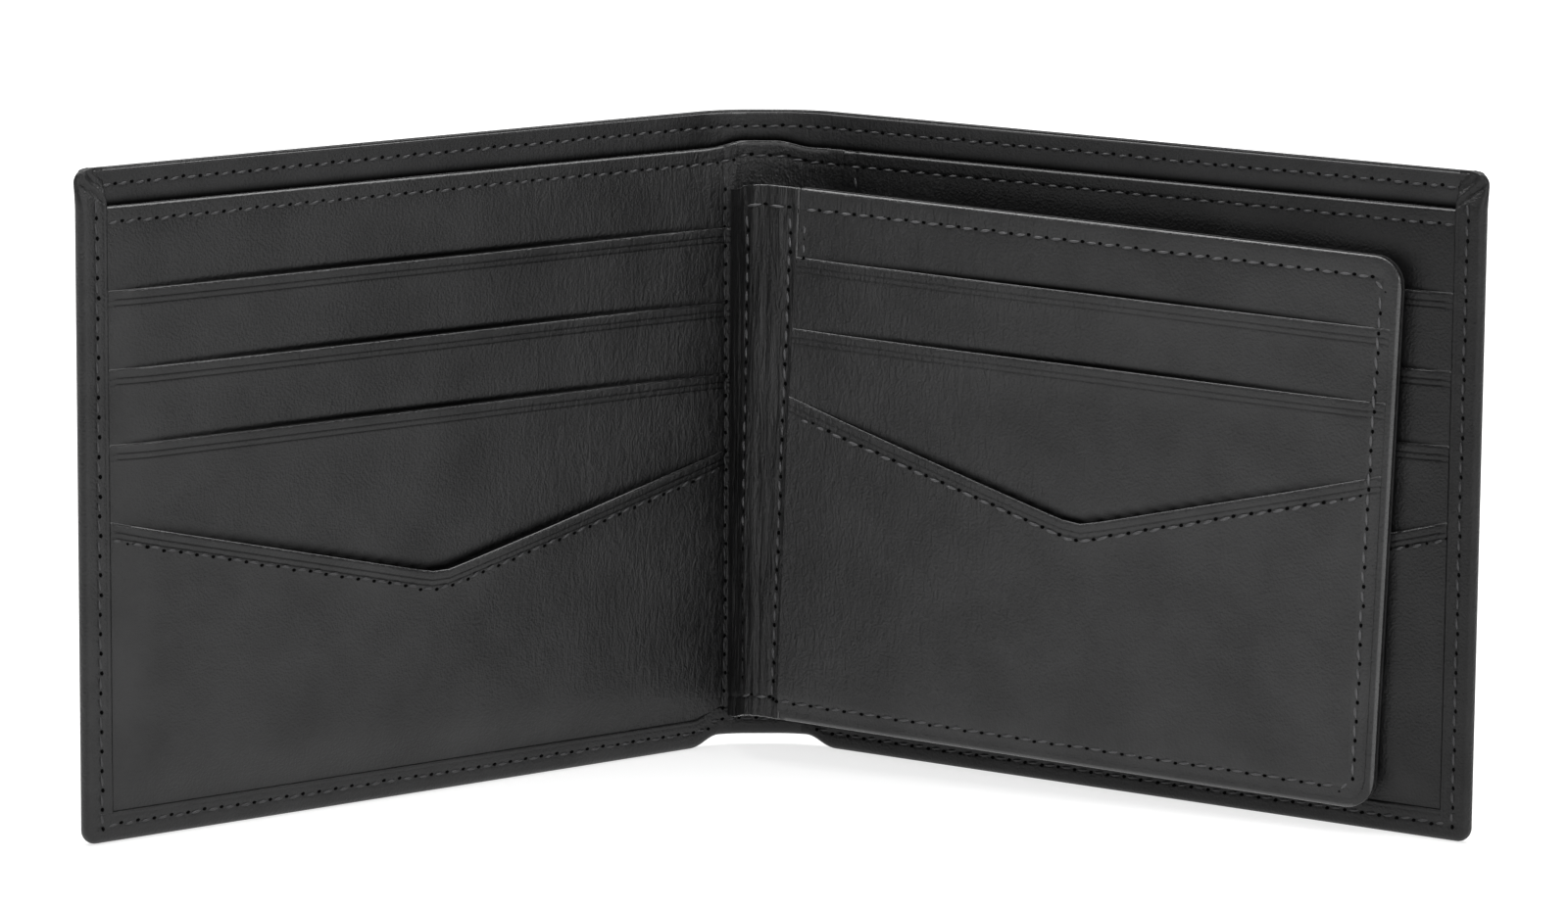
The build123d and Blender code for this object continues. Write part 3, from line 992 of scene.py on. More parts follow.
def groove(drop):
    """Share of the double line that is pressed below a slot's edge; the same share paints the lines dark as
    painted shade.
    """
    return max(exp(-((drop - line) / 0.11) ** 2) for line in crease_lines)


def hollow_above(rise, wide=hollow_wide):
    """Share of the hollow in a leather just above the mouth of the next one; the same share also paints it
    dark there as painted shade.
    """
    return exp(-((rise - 0.1) / wide) ** 2)


print("slot edges at", slot_edges, "mm")


# %% Cut the leathers of both panels
def mouth(s, drop, inset, wide):
    """How far a slot's mouth stands open, most in the middle of its edge."""
    across = max(0.0, min(1.0, (s - inset - 2.0) / (slot_end - inset - 3.0)))
    return wide * sin(pi * across) ** 0.7 * exp(-(drop / mouth_reach) ** 2)


def inner_seam_relief(s, inset):
    """The thread channel down a panel's inner edge."""
    return thread_channel(s - inset - inner_thread_line, 0.14)


def hollow_rows(top, next_edge):
    """Rows of a leather close above the next leather's edge, measured down from its top."""
    if next_edge is v_edge:
        return [top - v_sides + 0.3 * i for i in range(-4, 48)]
    return [top - next_edge - rise for rise in hollow_rises]


def cut_panel_leather(stem, low, high, top_of, floor, side, wide, end, next_edge, rim):
    """One leather of a panel, with its own edge, pressed line, mouth and thread channel.

    It lies between the heights low and high, reaches up to top_of(s) and out to end, and its
    mouth stands open by wide.  Just above next_edge, where the next leather covers it, and
    along its pressed lines, it is painted dark and dull as painted shade.
    """
    inset = panel_inset[side]
    tallest = top_of(slot_end) - floor
    extra = hollow_rows(top_of(slot_end), next_edge) if next_edge else []
    drops = spread(0.0, tallest, 2.6, extra=pressed_rows + extra, close=edge_rows)
    across = spread(inset, end, 2.6, extra=around(inset + inner_thread_line), close=(0.25, 0.7, 1.4))
    seam_drop = panel_thread_line if stem == "card_backing" else None

    def next_top(s):
        return v_edge(s, inset) if next_edge is v_edge else next_edge

    def hollow_here(s, z):
        if not next_edge:
            return 0.0
        wide = v_hollow_wide if next_edge is v_edge else hollow_wide
        return hollow_above(z - next_top(s), wide) * mouth(s, 0.0, inset, 1.0)

    def s_of(u):
        return abs(u) - creases[1]

    def shape(s, drop):
        u = side * (creases[1] + s)
        top = top_of(s)
        near = min(drop, kept_rows)
        rest = (drop - near) * (top - floor - bottom_edge(u) - kept_rows) / (tallest - kept_rows)
        return u, top - near - rest

    def relief(u, z, h):
        s = s_of(u)
        drop = top_of(s) - z
        share = (h - backing_face) * skive(s, z, inset) if h > backing_face else h - backing_face
        up = backing_face + share + bridge(u) + panel_wave(u, z) - h
        up += mouth(s, drop, inset, wide) - 0.2 * hollow_here(s, z)
        if h > (low + high) / 2:
            up += inner_seam_relief(s, inset) + roll(drop) * (1.4 if seam_drop else 1.0)
            up += thread_channel(drop - seam_drop) if seam_drop else -0.08 * groove(drop)
        return up

    # Painted shade: below 0 the leather is painted dark and dull in its pressed lines and in the hollow above
    # the next leather's mouth.
    def gloss(u, z, h):
        drop = top_of(s_of(u)) - z
        if h < (low + high) / 2:
            return 0.0
        if drop < 0.35:
            return 0.8
        line = 0.0 if seam_drop else 0.7 * groove(drop)
        return -max(line, hollow_here(s_of(u), z))

    def on_mouth(place):
        return top_of(s_of(place.x)) - place.y < 0.3

    return lift(cut_leather(across, drops, low, high, shape, rim=rim, polished=on_mouth), relief, gloss)


for side, name in ((-1, "left"), (1, "right")):
    inset = panel_inset[side]
    bend = bend_of(spans[0]) if side < 0 else None
    body = None if bend else "right_half"
    slot_floor = border_width + 0.1
    next_edges = list(slot_edges[1:]) + [v_edge]
    jobs = [(
        "card_backing", 1.11, backing_face, lambda s: panel_edge(side * (creases[1] + s)),
        wrap + 0.1, 0.0, inner_end - creases[1], slot_edges[0],
    )]
    jobs.append((
        "card_fabric", *levels["card_fabric"], lambda s: slot_edges[0] - 1.5, slot_floor, 0.0, slot_end, None,
    ))
    for row, edge in enumerate(slot_edges, start=1):
        stem = f"card_slot_{row}"
        jobs.append((
            stem, *levels[stem], lambda s, edge=edge: edge, slot_floor, slot_mouth, slot_end,
            next_edges[row - 1],
        ))
    jobs.append((
        "v_pocket", *levels["v_pocket"], lambda s: v_edge(s, inset), slot_floor, v_mouth, slot_end, None,
    ))
    for stem, low, high, top_of, floor, wide, end, next_edge in jobs:
        # The right panel takes the painted-shade copy of the leather.
        rim, skin, slot = skin_rim, shaded_half_leather if side > 0 else panel_leather, "panel_leather"
        if stem == "card_fabric":
            rim, skin, slot = 0.04, lining_cloth, "lining"
        bm = cut_panel_leather(stem, low, high, top_of, floor, side, wide, end, next_edge, rim)
        finish_piece(
            f"{stem}_{name}_skin", bm, wallet_place, skin, body=body, bend=bend,
            stands_for=[f"{stem}_{name}"],
        )
    print(name, "panel:", [job[0] for job in jobs])

# %% [markdown]
# ## Card flap
# The flap is a stiff board covered on both sides.  The front leather is turned round the
# board's edge, so its rim is thick and round; two card slots and a V pocket lie on it.  The
# back has a leather frame round a clear window, with a lining behind the film.  Only the
# front is seen as the wallet stands open.

# %% Outline of the flap
strip_width = 8.8
flap_length, flap_height = 87.8, 74.0
flap_end = strip_width + flap_length
flap_corner = 4.0
flap_seam = 2.8
slot_inset = 1.2                # the slots stop this far inside the rim
rim_back, rim_width = -0.5, 0.85
rim_shoulder, rim_fall = 1.1, 0.38
flap_slot_drops = (9.4, 19.2)
flap_v_sides, flap_v_point = 28.4, 40.7


def end_drop(t, end=flap_end, radius=flap_corner):
    """How far the rounded outer corners pull the long edges in."""
    from_end = end - t
    return radius - sqrt(max(0.0, radius ** 2 - (radius - from_end) ** 2)) if from_end < radius else 0.0


def flap_skive(t, w):
    """Share of its height that a flap leather keeps near the sewn rim."""
    end = smooth_step((flap_end - slot_inset - t) / 2.4)
    floor = smooth_step((w - slot_inset) / 3.0)
    return 0.12 + 0.88 * end * floor


def flap_wave(t, w):
    """The slight crown and waviness of the covered board."""
    inside = smooth_step((flap_end - 1.6 - t) / 12.0) * smooth_step((t - strip_width) / 8.0)
    inside *= smooth_step((w - 1.6) / 10.0) * smooth_step((flap_height - 1.6 - w) / 10.0)
    return (0.35 + 0.2 * noise.noise(Vector((t * 0.05, w * 0.06, 7.7)))) * inside


def rim_distance(t, w):
    """Distance in from the flap's outer, top and bottom edges."""
    return min(flap_end - t, w, flap_height - w)


print("flap runs from", strip_width, "to", flap_end, "mm")

# %% Cut the front of the flap
flap_face = 0.27
flap_v_hollow_wide = 0.6
flap_crease_rows = [flap_slot_drops[0] - rise for rise in hollow_rises]
round_columns = [flap_end - c for c in (0.0, 0.12, 0.35, 0.7, 1.2, 1.8, 2.5, 3.2, 4.0)]
flap_columns = spread(
    strip_width + 0.2, flap_end, 2.6,
    extra=round_columns + [flap_end - 0.2, flap_end - 0.5, flap_end - rim_width]
    + around(flap_end - flap_seam),
)
flap_rows = spread(
    0.0, flap_height, 2.6, close=(0.12, 0.3, 0.55, 1.15, 1.6),
    extra=around(flap_seam) + around(flap_height - flap_seam) + [rim_width, flap_height - rim_width]
    + [flap_height - drop for drop in flap_crease_rows],
)


def sewn_rim(t, w):
    """The thread channel that runs round the flap."""
    distance = min(flap_end - flap_seam - t, w - flap_seam, flap_height - flap_seam - w)
    return thread_channel(distance, 0.13)


def front_shape(t, w):
    """The flap's outline, with its two free corners rounded."""
    drop = end_drop(t)
    return t, drop + w / flap_height * (flap_height - 2 * drop)


def rim_roll(t, w):
    """The round shoulder of the turned rim."""
    past_end = t - flap_end + flap_corner
    past_side = abs(w - flap_height / 2) - flap_height / 2 + flap_corner
    inward = rim_distance(t, w)
    if past_end > 0 and past_side > 0:
        inward = flap_corner - hypot(past_end, past_side)
    inside = min(1.0, max(0.0, inward) / rim_shoulder)
    return -rim_fall * (1 - sqrt(max(0.0, 1 - (1 - inside) ** 2)))


def front_relief(t, w, h):
    """The crown of the flap, and on its face the thread channel and the round rim."""
    return flap_wave(t, w) + (sewn_rim(t, w) + rim_roll(t, w) if h > 0.0 else 0.0)


def flap_mouth(t):
    """How far a flap slot stands open along its edge, from 0 at its ends to 1."""
    across = max(0.0, min(1.0, (t - strip_width - 2.0) / (flap_length - 6.0)))
    return sin(pi * across) ** 0.7


def open_by_mouth(t, drop):
    """How far a flap leather is lifted at its mouth."""
    return flap_mouth_width * flap_mouth(t) * exp(-(drop / mouth_reach) ** 2)


def front_gloss_and_shade(t, w, h):
    """Painted shade, dark and dull, in the hollow above the first slot, and polished along the turned rim."""
    if h < 0.0 or rim_distance(t, w) < 0.5:
        return 0.9 if t > strip_width + 1.0 else 0.0
    return -hollow_above(w - flap_height + flap_slot_drops[0]) * flap_mouth(t)


def on_flap_rim(middle):
    """True along the turned edge of the flap, round its two free corners as well."""
    inward = rim_distance(middle.x, middle.y)
    at_corner = middle.x > flap_end - flap_corner and middle.z > -0.1
    past_corner = end_drop(middle.x) > min(middle.y, flap_height - middle.y) - 0.2
    return inward < rim_width / 2 or inward < flap_corner and at_corner and past_corner


bm = cut_leather(
    flap_columns, flap_rows, -0.08, flap_face, front_shape,
    under=lambda t, w: rim_back if rim_distance(t, w) < rim_width else -0.08, rim=0.3, rim_segments=4,
    round_at=on_flap_rim, polished=lambda place: place.x > strip_width + 1.0,
)
front = finish_piece(
    "flap_front_leather", lift(bm, front_relief, front_gloss_and_shade), flap_place, flap_leather,
    body="flap", stands_for=["flap_backing"],
)
print("flap front", len(front.data.polygons), "faces")

# %% Cut the flap's slots and V pocket
flap_levels = {"flap_slot_1": (0.30, 0.55), "flap_slot_2": (0.58, 0.83), "flap_v_pocket": (0.86, 1.11)}


def flap_v_drop(t):
    """Drop of the V edge below the flap's top, with its point eased."""
    middle = (strip_width + flap_end) / 2
    eased = sqrt((t - middle) ** 2 + 1.5) - 0.6
    return flap_v_point - (flap_v_point - flap_v_sides) * eased / (flap_length / 2)


flap_drops = {
    "flap_slot_1": lambda t: flap_slot_drops[0],
    "flap_slot_2": lambda t: flap_slot_drops[1],
    "flap_v_pocket": flap_v_drop,
}


def flap_stacked(level, t, w):
    """Height of a flap leather's face at one place."""
    return flap_face + (level - flap_face) * flap_skive(t, w) + flap_wave(t, w)


next_drops = {"flap_slot_1": flap_drops["flap_slot_2"], "flap_slot_2": flap_v_drop, "flap_v_pocket": None}
for stem, (low, high) in flap_levels.items():
    drop_of, next_drop = flap_drops[stem], next_drops[stem]
    tallest = flap_height - drop_of(20.0) - slot_inset
    if next_drop is flap_v_drop:
        hollow_places = [flap_v_sides - flap_slot_drops[1] + 0.3 * i for i in range(-5, 45)]
    else:
        step = flap_slot_drops[1] - flap_slot_drops[0]
        hollow_places = [step - rise for rise in hollow_rises] if next_drop else []

    def shape(t, drop):
        low_edge = slot_inset + end_drop(t, flap_end - slot_inset, flap_corner - slot_inset)
        top = flap_height - drop_of(t)
        near = min(drop, kept_rows)
        return t, top - near - (drop - near) * (top - low_edge - kept_rows) / (tallest - kept_rows)

    def hollow_here(t, w):
        if not next_drop:
            return 0.0
        wide = flap_v_hollow_wide if next_drop is flap_v_drop else hollow_wide
        return hollow_above(w - flap_height + next_drop(t), wide) * flap_mouth(t)

    def relief(t, w, h):
        drop = flap_height - drop_of(t) - w
        up = flap_face + (h - flap_face) * flap_skive(t, w) + flap_wave(t, w) - h
        up += open_by_mouth(t, drop) - 0.12 * hollow_here(t, w)
        if h > (low + high) / 2:
            up += roll(drop) - 0.08 * groove(drop) + sewn_rim(t, w)
        return up

    # Painted shade: below 0 the slot leather is painted dark and dull along its pressed lines and in the
    # hollow above the next mouth.
    def gloss(t, w, h):
        drop = flap_height - drop_of(t) - w
        return -max(0.3 * groove(drop), hollow_here(t, w)) if h > (low + high) / 2 else 0.0

    def on_edge(place):
        return flap_height - drop_of(place.x) - place.y < 0.3

    near_corner = [flap_end - slot_inset - c for c in (0.1, 0.3, 0.8, 1.4, 2.1, 2.8)]
    across = spread(
        strip_width, flap_end - slot_inset, 2.6, extra=around(flap_end - flap_seam) + near_corner,
        close=(0.12, 0.4),
    )
    downs = spread(
        0.0, tallest, 2.6, close=edge_rows,
        extra=pressed_rows + around(tallest + slot_inset - flap_seam) + hollow_places,
    )
    bm = cut_leather(across, downs, low, high, shape, rim=skin_rim, polished=on_edge)
    finish_piece(
        f"{stem}_skin", lift(bm, relief, gloss), flap_place, flap_leather, body="flap",
        stands_for=[stem],
    )
    print(stem, "cut")

# %% [markdown]
# The window's frame is one leather with an opening.  It is cut as a grid like the others;
# the faces inside the opening are deleted before the thickness is added, so the opening's
# edge gets the same rounded rim as the outside.

# %% Cut the window frame
frame_back, frame_front = -1.25, -0.90
window_side, window_end = 9.5, 8.5
corner_ease = 0.8               # the opening's corners are drawn in by this much
window_low = (strip_width + window_side, window_end)
window_high = (flap_end - window_side, flap_height - window_end)


def in_window(t, w):
    """True inside the frame's opening."""
    return window_low[0] < t < window_high[0] and window_low[1] < w < window_high[1]


frame_columns = spread(
    strip_width + 0.2, flap_end, 3.0,
    extra=round_columns + [window_low[0], window_high[0]] + around(flap_end - flap_seam),
)
frame_rows = spread(
    0.0, flap_height, 3.0,
    extra=[window_low[1], window_high[1]] + around(flap_seam) + around(flap_height - flap_seam),
)
wide, tall = len(frame_columns) - 1, len(frame_rows) - 1
bm = bmesh.new()
bmesh.ops.create_grid(bm, x_segments=wide, y_segments=tall, size=0.5)
for vert in bm.verts:
    t = frame_columns[round((vert.co.x + 0.5) * wide)]
    w = frame_rows[round((vert.co.y + 0.5) * tall)]
    vert.co = Vector((*front_shape(t, w), frame_back))
opening = [f for f in bm.faces if in_window(f.calc_center_median().x, f.calc_center_median().y)]
bmesh.ops.delete(bm, geom=opening, context="FACES")
window_corners = [
    Vector((t, w, frame_back))
    for t in (window_low[0], window_high[0]) for w in (window_low[1], window_high[1])
]
window_middle_t = (window_low[0] + window_high[0]) / 2
window_middle_w = (window_low[1] + window_high[1]) / 2
for vert in bm.verts:
    if any((vert.co - place).length < 0.01 for place in window_corners):
        vert.co.x += corner_ease if vert.co.x < window_middle_t else -corner_ease
        vert.co.y += corner_ease if vert.co.y < window_middle_w else -corner_ease
upper = bmesh.ops.extrude_face_region(bm, geom=bm.faces[:])["geom"]
raised_verts = [v for v in upper if isinstance(v, bmesh.types.BMVert)]
bmesh.ops.translate(bm, vec=(0, 0, frame_front - frame_back), verts=raised_verts)
bmesh.ops.recalc_face_normals(bm, faces=bm.faces)
sharp = [e for e in bm.edges if e.calc_face_angle(0) > 1.0]
bmesh.ops.bevel(
    bm, geom=sharp, offset=0.12, affect="EDGES", segments=3, profile=0.5, material=-1, clamp_overlap=True,
)
lift(bm, lambda t, w, h: -sewn_rim(t, w) if h < -1.1 else 0.0)
finish_piece(
    "flap_frame_leather", bm, flap_place, flap_leather, body="flap",
    stands_for=["flap_window_frame"],
)

# %% Lay the film and the back lining behind the frame
film_over = 3.0
film_low, film_high = -0.87, -0.72
bm = cut_leather(
    spread(window_low[0] - film_over, window_high[0] + film_over, 4.0),
    spread(window_low[1] - film_over, window_high[1] + film_over, 4.0),
    film_low, film_high, rim=0.04,
)
lift(bm, lambda t, w, h: 0.02 * noise.noise(Vector((t * 0.12, w * 0.12, 3.0))))
finish_piece(
    "flap_film_sheet", bm, flap_place, window_film, body="flap",
    stands_for=["flap_window_film"],
)

lining_inset, lining_end = 0.9, flap_end - 1.0
lining_back, lining_front = -0.66, -0.52


def back_lining_shape(t, w):
    """The lining's outline, a little inside the flap's, with the same rounded corners."""
    drop = end_drop(t, lining_end, flap_corner - 1.0)
    share = (w - lining_inset) / (flap_height - 2 * lining_inset)
    return t, drop + share * (flap_height - 2 * lining_inset - 2 * drop) + lining_inset


bm = cut_leather(
    spread(strip_width + lining_inset, lining_end, 4.0, extra=[lining_end - c for c in (0.3, 0.9, 1.8, 3.0)]),
    spread(lining_inset, flap_height - lining_inset, 4.0),
    lining_back, lining_front, shape=back_lining_shape, rim=0.04,
)
finish_piece(
    "flap_lining_skin", bm, flap_place, lining_cloth, body="flap", stands_for=["flap_back_lining"],
)
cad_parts["flap_stiffener"].material_slots[0].material = fibre_board
print("flap back cut; the board keeps its own shape")

# %% [markdown]
# ## The flap's strip
# A strip of soft leather joins the flap to the left panel's inner edge.  It comes straight
# forward and turns into the flap, and years of folding have covered it in fine upright
# wrinkles.  It follows a smooth spline seen from above.  It is cut in two lengths where it
# bends forward: its root goes with the crease of the spine, and the rest with the flap.

# %% Line of the strip, seen from above
def on_flap(t, g=-0.05):
    """A place in the flap's plane, t along it, seen from above."""
    return hinge + along_flap * t + out_of_flap * g


strip_route = [
    Vector((-4.7, 27.0, 0)), Vector((-4.0, 25.4, 0)), Vector((-3.35, 22.8, 0)), Vector((-3.0, 20.3, 0)),
    on_flap(3.9), on_flap(6.2), on_flap(strip_width + 0.12),
]
curve = bpy.data.curves.new("strip_route", "CURVE")
curve.dimensions = "3D"
curve.resolution_u = 12
spline = curve.splines.new("NURBS")
spline.points.add(len(strip_route) - 1)
for point, place in zip(spline.points, strip_route):
    point.co = (place.x, place.y, 0.0, 1.0)
spline.order_u = 4
spline.use_endpoint_u = True
holder = bpy.data.objects.new("strip_route", curve)
bpy.context.collection.objects.link(holder)
bpy.context.view_layer.update()
route_mesh = bpy.data.meshes.new_from_object(holder)
route = [Vector((v.co.x, v.co.y, 0)) for v in route_mesh.vertices]
bpy.data.objects.remove(holder)
bpy.data.meshes.remove(route_mesh)
lengths = [0.0]
for a, b in zip(route, route[1:]):
    lengths.append(lengths[-1] + (b - a).length)
strip_length = lengths[-1]
print("strip is", round(strip_length, 2), "mm wide along its curve")

# %% Shape of the strip
strip_thickness = 0.55
root_drop = 2.0                 # the strip's root is sewn this much lower
drop_run = 10.3                 # run over which that drop fades out
strip_turn = 6.6                # run to the place where it bends forward


def strip_line(run):
    """Place and heading on the strip's line, run millimetres from its root."""
    run = max(0.0, min(strip_length, run))
    i = max(k for k in range(len(lengths) - 1) if lengths[k] <= run + 1e-9)
    part = (run - lengths[i]) / (lengths[i + 1] - lengths[i])
    here = route[i + 1] - route[i]
    following = route[i + 2] - route[i + 1] if i + 2 < len(route) else here
    heading = here.normalized().lerp(following.normalized(), part).normalized()
    return route[i].lerp(route[i + 1], part), heading


def strip_place(run, w, g):
    """One flat place of the strip, in the room; its flap end lies in the flap's plane."""
    at, heading = strip_line(run)
    front = Vector((heading.y, -heading.x, 0))
    joined = smooth_step((run - 0.35 * strip_length) / (0.6 * strip_length))
    t = strip_width - (strip_length - run)
    lean = w * sin(flap_sag) * joined
    rise = flap_bottom - t * sin(flap_sag) * joined + w * cos(flap_sag)
    rise -= root_drop * (1 - smooth_step(run / drop_run))
    return (Vector((at.x, at.y, rise)) + heading * lean + front * g) * MM


strip_seams = (strip_length - 6.4, strip_length - 1.35)


def strip_relief(run, w, g):
    """Fine upright wrinkles, deepest between the two rows of stitches."""
    middle = smooth_step(run / 3.0) * smooth_step((strip_length - run) / 1.6)
    tall = noise.noise(Vector((run * 1.25, w * 0.045, 0.3)))
    fine = noise.noise(Vector((run * 2.6, w * 0.13, 5.2)))
    wrinkles = middle * (0.3 * tall + 0.2 * fine)
    if g <= 0:
        return wrinkles
    seams = sum(thread_channel(run - seam, 0.14) for seam in strip_seams)
    ends = thread_channel(flap_height - flap_seam - w, 0.13) + thread_channel(w - flap_seam, 0.13)
    return wrinkles + seams + ends


strip_rows = spread(
    0.0, flap_height, 1.2, extra=around(flap_seam) + around(flap_height - flap_seam), close=(0.2, 0.5),
)
root, turn_place, flap_side = [strip_place(run, 0, 0) for run in (0.0, strip_turn, strip_length - 0.6)]
root.z = turn_place.z = flap_side.z = 0.04
strip_bend = ("left_half", "flap", turn_place, flap_side)
strip_lengths = {
    "flap_strip_root": (0.0, strip_turn, ("crease_left", "left_half", root, turn_place), []),
    "flap_strip_leather": (strip_turn, strip_length, strip_bend, ["flap_strip"]),
}
for name, (start, end, bend, stands_for) in strip_lengths.items():
    strip_columns = spread(start, end, 0.22, close=())
    bm = cut_leather(
        strip_columns, strip_rows, -strip_thickness / 2, strip_thickness / 2, rim=0.16, rim_segments=3,
        round_at=lambda m: abs(m.x - strip_turn) > 0.01,
    )
    strip = finish_piece(
        name, lift(bm, strip_relief), strip_place, soft_leather, bend=bend,
        stands_for=stands_for,
    )
    print(name, len(strip.data.polygons), "faces")

# %% [markdown]
# ## Stitches
# Every seam is sewn with a twisted black thread.  A stitch lies on the leather between two
# holes, slightly aslant, and its ends sink into them, so it is a stretched ball whose ends
# are bent down.  Beside it, at the needle's hole, lies a small flat black ball: painted
# shade that stands in for the dark inside the hole.  One row is one piece of many stitches,
# and each is set with small differences, because no real row is perfectly even.  The same
# thread comes out on the outside of the outer leather.

# %% Sew a row of stitches
random.seed(7)
stitch_pitch = 2.6
thread_half, thread_rise = 0.19, 0.18
stitch_cover = 0.68             # share of the pitch that a stitch covers
stitch_slant = 7                # degrees that a stitch lies aslant
stitch_sides, stitch_rings = 8, 5
hole_long, hole_cross, hole_deep = 0.7, 0.54, 0.34


def along(route):
    """Places and headings every stitch along a flat route of straight runs."""
    marks, carried = [], stitch_pitch / 2
    for (a, b), (c, d) in zip(route, route[1:]):
        run = hypot(c - a, d - b)
        while carried < run:
            part = carried / run
            marks.append((a + (c - a) * part, b + (d - b) * part, atan2(d - b, c - a)))
            carried += stitch_pitch
        carried -= run
    return marks


def add_hole_shade(bm, a, b, heading, level):
    """Painted shade of the needle's hole at a flat place: a flattened black ball of the second material."""
    ball = bmesh.ops.create_icosphere(bm, subdivisions=1, radius=0.5)["verts"]
    for vert in ball:
        long_way, cross = vert.co.x * hole_long, vert.co.y * hole_cross
        vert.co = Vector((
            a + long_way * cos(heading) - cross * sin(heading),
            b + long_way * sin(heading) + cross * cos(heading), level + vert.co.z * hole_deep,
        ))
    for face in {f for vert in ball for f in vert.link_faces}:
        face.material_index = 1


def add_stitch(bm, a, b, heading, surface):
    """One stitch at a flat place, with its ends sunk into the leather, and the painted shade of its hole."""
    length = stitch_pitch * (stitch_cover + random.uniform(-0.05, 0.05))
    heading += radians(stitch_slant) + radians(random.uniform(-4, 4))
    a += random.uniform(-0.05, 0.05)
    b += random.uniform(-0.05, 0.05)
    made = bmesh.ops.create_uvsphere(bm, u_segments=stitch_sides, v_segments=stitch_rings, radius=0.5)
    ball = made["verts"]
    level_here = surface(a, b)
    hole_a, hole_b = a + stitch_pitch / 2 * cos(heading), b + stitch_pitch / 2 * sin(heading)
    add_hole_shade(bm, hole_a, hole_b, heading, surface(hole_a, hole_b))
    for vert in ball:
        ahead_by, across = vert.co.z * length, vert.co.x * 2 * thread_half
        up = vert.co.y * 2 * thread_rise
        fuller = 1.25 - 0.5 * (2 * vert.co.z) ** 2
        sink = 0.16 * (2 * vert.co.z) ** 4
        vert.co = Vector((
            a + ahead_by * cos(heading) - across * fuller * sin(heading),
            b + ahead_by * sin(heading) + across * fuller * cos(heading),
            level_here + up * fuller - sink + 0.02,
        ))


def sew(
    name, marks, surface, place, body=None, bend=None, stands_for=(), thread=black_thread, outside=False,
):
    """One row, or several, as one piece; a row on the outside is the mirror image in h."""
    bm = bmesh.new()
    for a, b, heading in marks:
        add_stitch(bm, a, b, heading, surface)
    bmesh.ops.recalc_face_normals(bm, faces=bm.faces)
    if outside:
        bmesh.ops.scale(bm, vec=(1, 1, -1), verts=bm.verts)
        bmesh.ops.reverse_faces(bm, faces=bm.faces)
    piece = finish_piece(name, bm, place, thread, body=body, bend=bend, stands_for=stands_for)
    # The second material is the painted shade of the needle holes.
    piece.data.materials.append(needle_hole)
    print(name, len(marks), "stitches")


def split_by_span(marks):
    """The marks of a long row, sorted into the four lengths of the wallet."""
    return {span.name: [m for m in marks if span.start <= m[0] < span.end] for span in spans}


# %% Sew the wallet's rows
thread_sink = 0.12              # a row's channel lowers its thread, except on an open mouth


def border_surface(u, z):
    """Face of the turned border at one place."""
    distance = min(wallet_end - abs(u), z - bottom_edge(u))
    on_side = wallet_end - abs(u) < z - bottom_edge(u)
    run, height_here = (z, z) if on_side else (abs(u), plain_height)
    full = border_face + border_relief(run, height_here, distance) + shell_half
    return full * border_thin(z) - shell_half


def panel_surface(u, z):
    """Face of the foremost leather at one place of a card panel."""
    side = 1 if u > 0 else -1
    s, inset = abs(u) - creases[1], panel_inset[side]
    level_here = backing_face
    for edge, stem in zip(slot_edges, ("card_slot_1", "card_slot_2", "card_slot_3")):
        level_here = levels[stem][1] if z < edge else level_here
    below_v = v_edge(s, inset) - z
    level_here = levels["v_pocket"][1] if below_v > 0 else level_here
    open_by = mouth(s, below_v, inset, v_mouth) if below_v > 0 else 0.0
    return stacked(level_here, s, z, side) + open_by - thread_sink * (open_by < 0.05)


def lining_surface(u, z):
    """Face of the lining at one place."""
    return lining_face + lining_relief(u, z, lining_face)


def divider_surface(u, z):
    """Face of the divider at one place."""
    return divider_face + divider_relief(u, z, divider_face)


def outer_face(u, z):
    """The outside of the outer leather, where the same thread comes out again."""
    return shell_half - 0.05


hem_end = wallet_end - 3.4
hem = split_by_span(along([(-hem_end, height - hem_line), (hem_end, height - hem_line)]))
seam_end = wallet_end - seam_in
side_top = 85.2


def raised(marks):
    """Marks of a bottom row, lifted with the bottom edge at the spine."""
    return [(a, b if b > 20 else b + bottom_edge(a), c) for a, b, c in marks]


under_spine = raised(along([(-cut_u, seam_in), (cut_u, seam_in)]))
border = {
    "left": raised(along([(-seam_end, side_top), (-seam_end, seam_in), (-cut_u, seam_in)])),
    "spine_left": [m for m in under_spine if m[0] < 0],
    "spine_right": [m for m in under_spine if m[0] >= 0],
    "right": raised(along([(seam_end, side_top), (seam_end, seam_in), (cut_u, seam_in)])),
}
bridge_start, bridge_end = -4.6, 11.6
bridge_marks = split_by_span(along([(bridge_start, 0.0), (bridge_end, 0.0)]))
for span in spans:
    key, bend = span.name, bend_of(span)
    sew(f"hem_stitches_{key}", hem[key], lining_surface, wallet_place, bend=bend)
    sew(
        f"border_stitches_{key}", border[key], border_surface, wallet_place, bend=bend,
        stands_for=[f"border_seam_{key}"] if key in ("left", "right") else (),
    )
    for row, marks in (("hem", hem[key]), ("border", border[key])):
        sew(f"outside_{row}_stitches_{key}", marks, outer_face, wallet_place, bend=bend, outside=True)
    marks = [(a, panel_edge(a) - panel_thread_line, c) for a, b, c in bridge_marks[key]]
    if marks:
        sew(f"divider_stitches_{key}", marks, divider_surface, wallet_place, bend=bend)

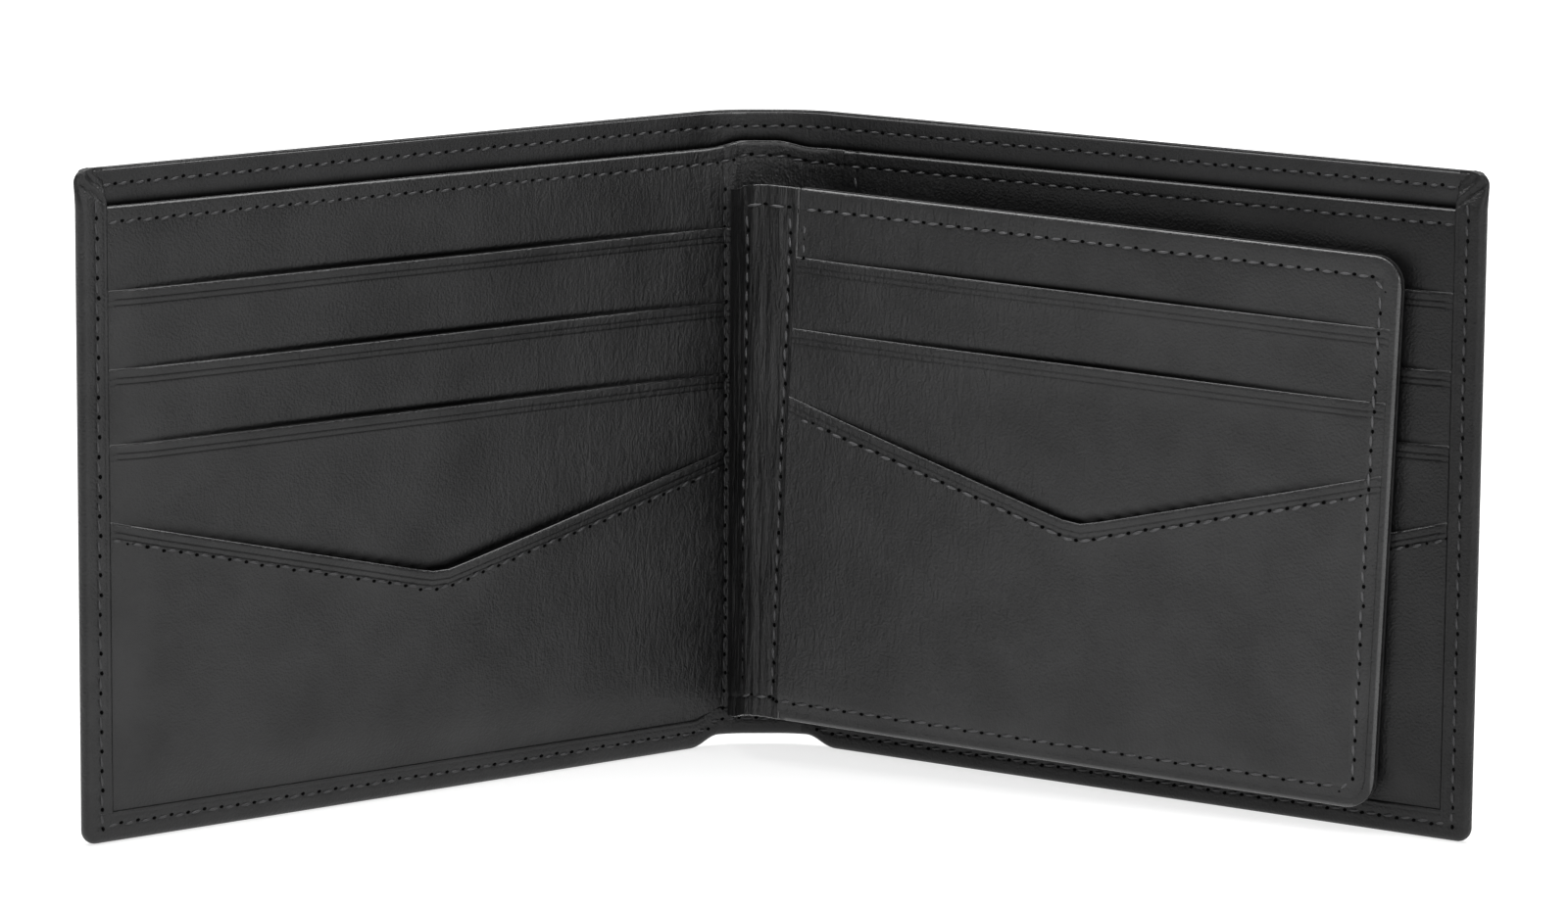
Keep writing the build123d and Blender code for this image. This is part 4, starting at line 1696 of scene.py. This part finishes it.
for side, name in ((-1, "left"), (1, "right")):
    inset = panel_inset[side]
    inner, outer = creases[1] + inset + 0.6, creases[1] + slot_end + 0.2
    level_marks = [side * a for a, b, c in along([(inner, 0.0), (outer, 0.0)])]
    top_marks = [(a, panel_edge(a) - panel_thread_line, 0.0) for a in level_marks]
    line = side * (creases[1] + inset + inner_thread_line)
    down = along([(line, panel_top - panel_thread_line - 1.0), (line, border_width + 0.8)])
    middle_s = (inset + slot_end) / 2
    v_places = (inset + 3.2, middle_s - 2.0, middle_s, middle_s + 2.0, slot_end - 0.8)
    v_route = [(side * (creases[1] + s), v_edge(s, inset) - v_thread_line) for s in v_places]
    sew(
        f"panel_stitches_{name}", top_marks + down + along(v_route), panel_surface, wallet_place,
        body="right_half" if side > 0 else None, bend=bend_of(spans[0]) if side < 0 else None,
        stands_for=[f"panel_seams_{name}"],
    )


# %% Sew the flap and its strip
def flap_surface(t, w):
    """Face of the foremost flap leather at one place."""
    level_here = flap_face
    for stem, (low, high) in flap_levels.items():
        level_here = high if w < flap_height - flap_drops[stem](t) else level_here
    below_v = flap_height - flap_v_drop(t) - w
    open_by = open_by_mouth(t, below_v) if below_v > 0 else 0.0
    return flap_stacked(level_here, t, w) + open_by - thread_sink * (open_by < 0.05)


def strip_surface(run, w):
    """Front face of the strip at one place."""
    return strip_thickness / 2 + strip_relief(run, w, 1.0)


top_row, end_row = flap_height - flap_seam, flap_end - flap_seam
turn = flap_corner - flap_seam
round_flap = [
    (strip_width + 0.6, top_row), (end_row - turn, top_row), (end_row, top_row - turn),
    (end_row, flap_seam + turn), (end_row - turn, flap_seam), (strip_width + 0.6, flap_seam),
]
flap_middle = (strip_width + flap_end) / 2
v_places = (strip_width + 1.4, flap_middle - 2.0, flap_middle, flap_middle + 2.0, end_row - 1.2)
flap_v_route = [(t, flap_height - flap_v_drop(t) - v_thread_line) for t in v_places]
short_inner = [(strip_width + 1.0, top_row - 1.5), (strip_width + 1.0, top_row - 8.0)]
front_marks = along(round_flap) + along(flap_v_route) + along(short_inner)
sew(
    "flap_front_stitches", front_marks, flap_surface, flap_place, body="flap",
    stands_for=["flap_front_seams"], thread=worn_thread,
)
back_marks = along(round_flap + [(strip_width + 1.8, top_row)])
sew(
    "flap_back_stitches", back_marks, lambda t, w: frame_back + 0.05, flap_place, body="flap",
    stands_for=["flap_back_seam"],
)
strip_marks = [m for seam in strip_seams for m in along([(seam, top_row - 0.9), (seam, flap_seam + 0.9)])]
for row in (top_row, flap_seam):
    strip_marks += along([(strip_seams[0] - 0.4, row), (strip_length - 0.3, row)])
sew("strip_stitches", strip_marks, strip_surface, strip_place, bend=strip_bend, thread=worn_thread)

# %% Measure and finish
own_low, own_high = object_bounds()
own_size, cad_size = own_high - own_low, cad_high - cad_low
print("box", [round(c / MM, 1) for c in own_size], "mm; model", [round(c / MM, 1) for c in cad_size], "mm")
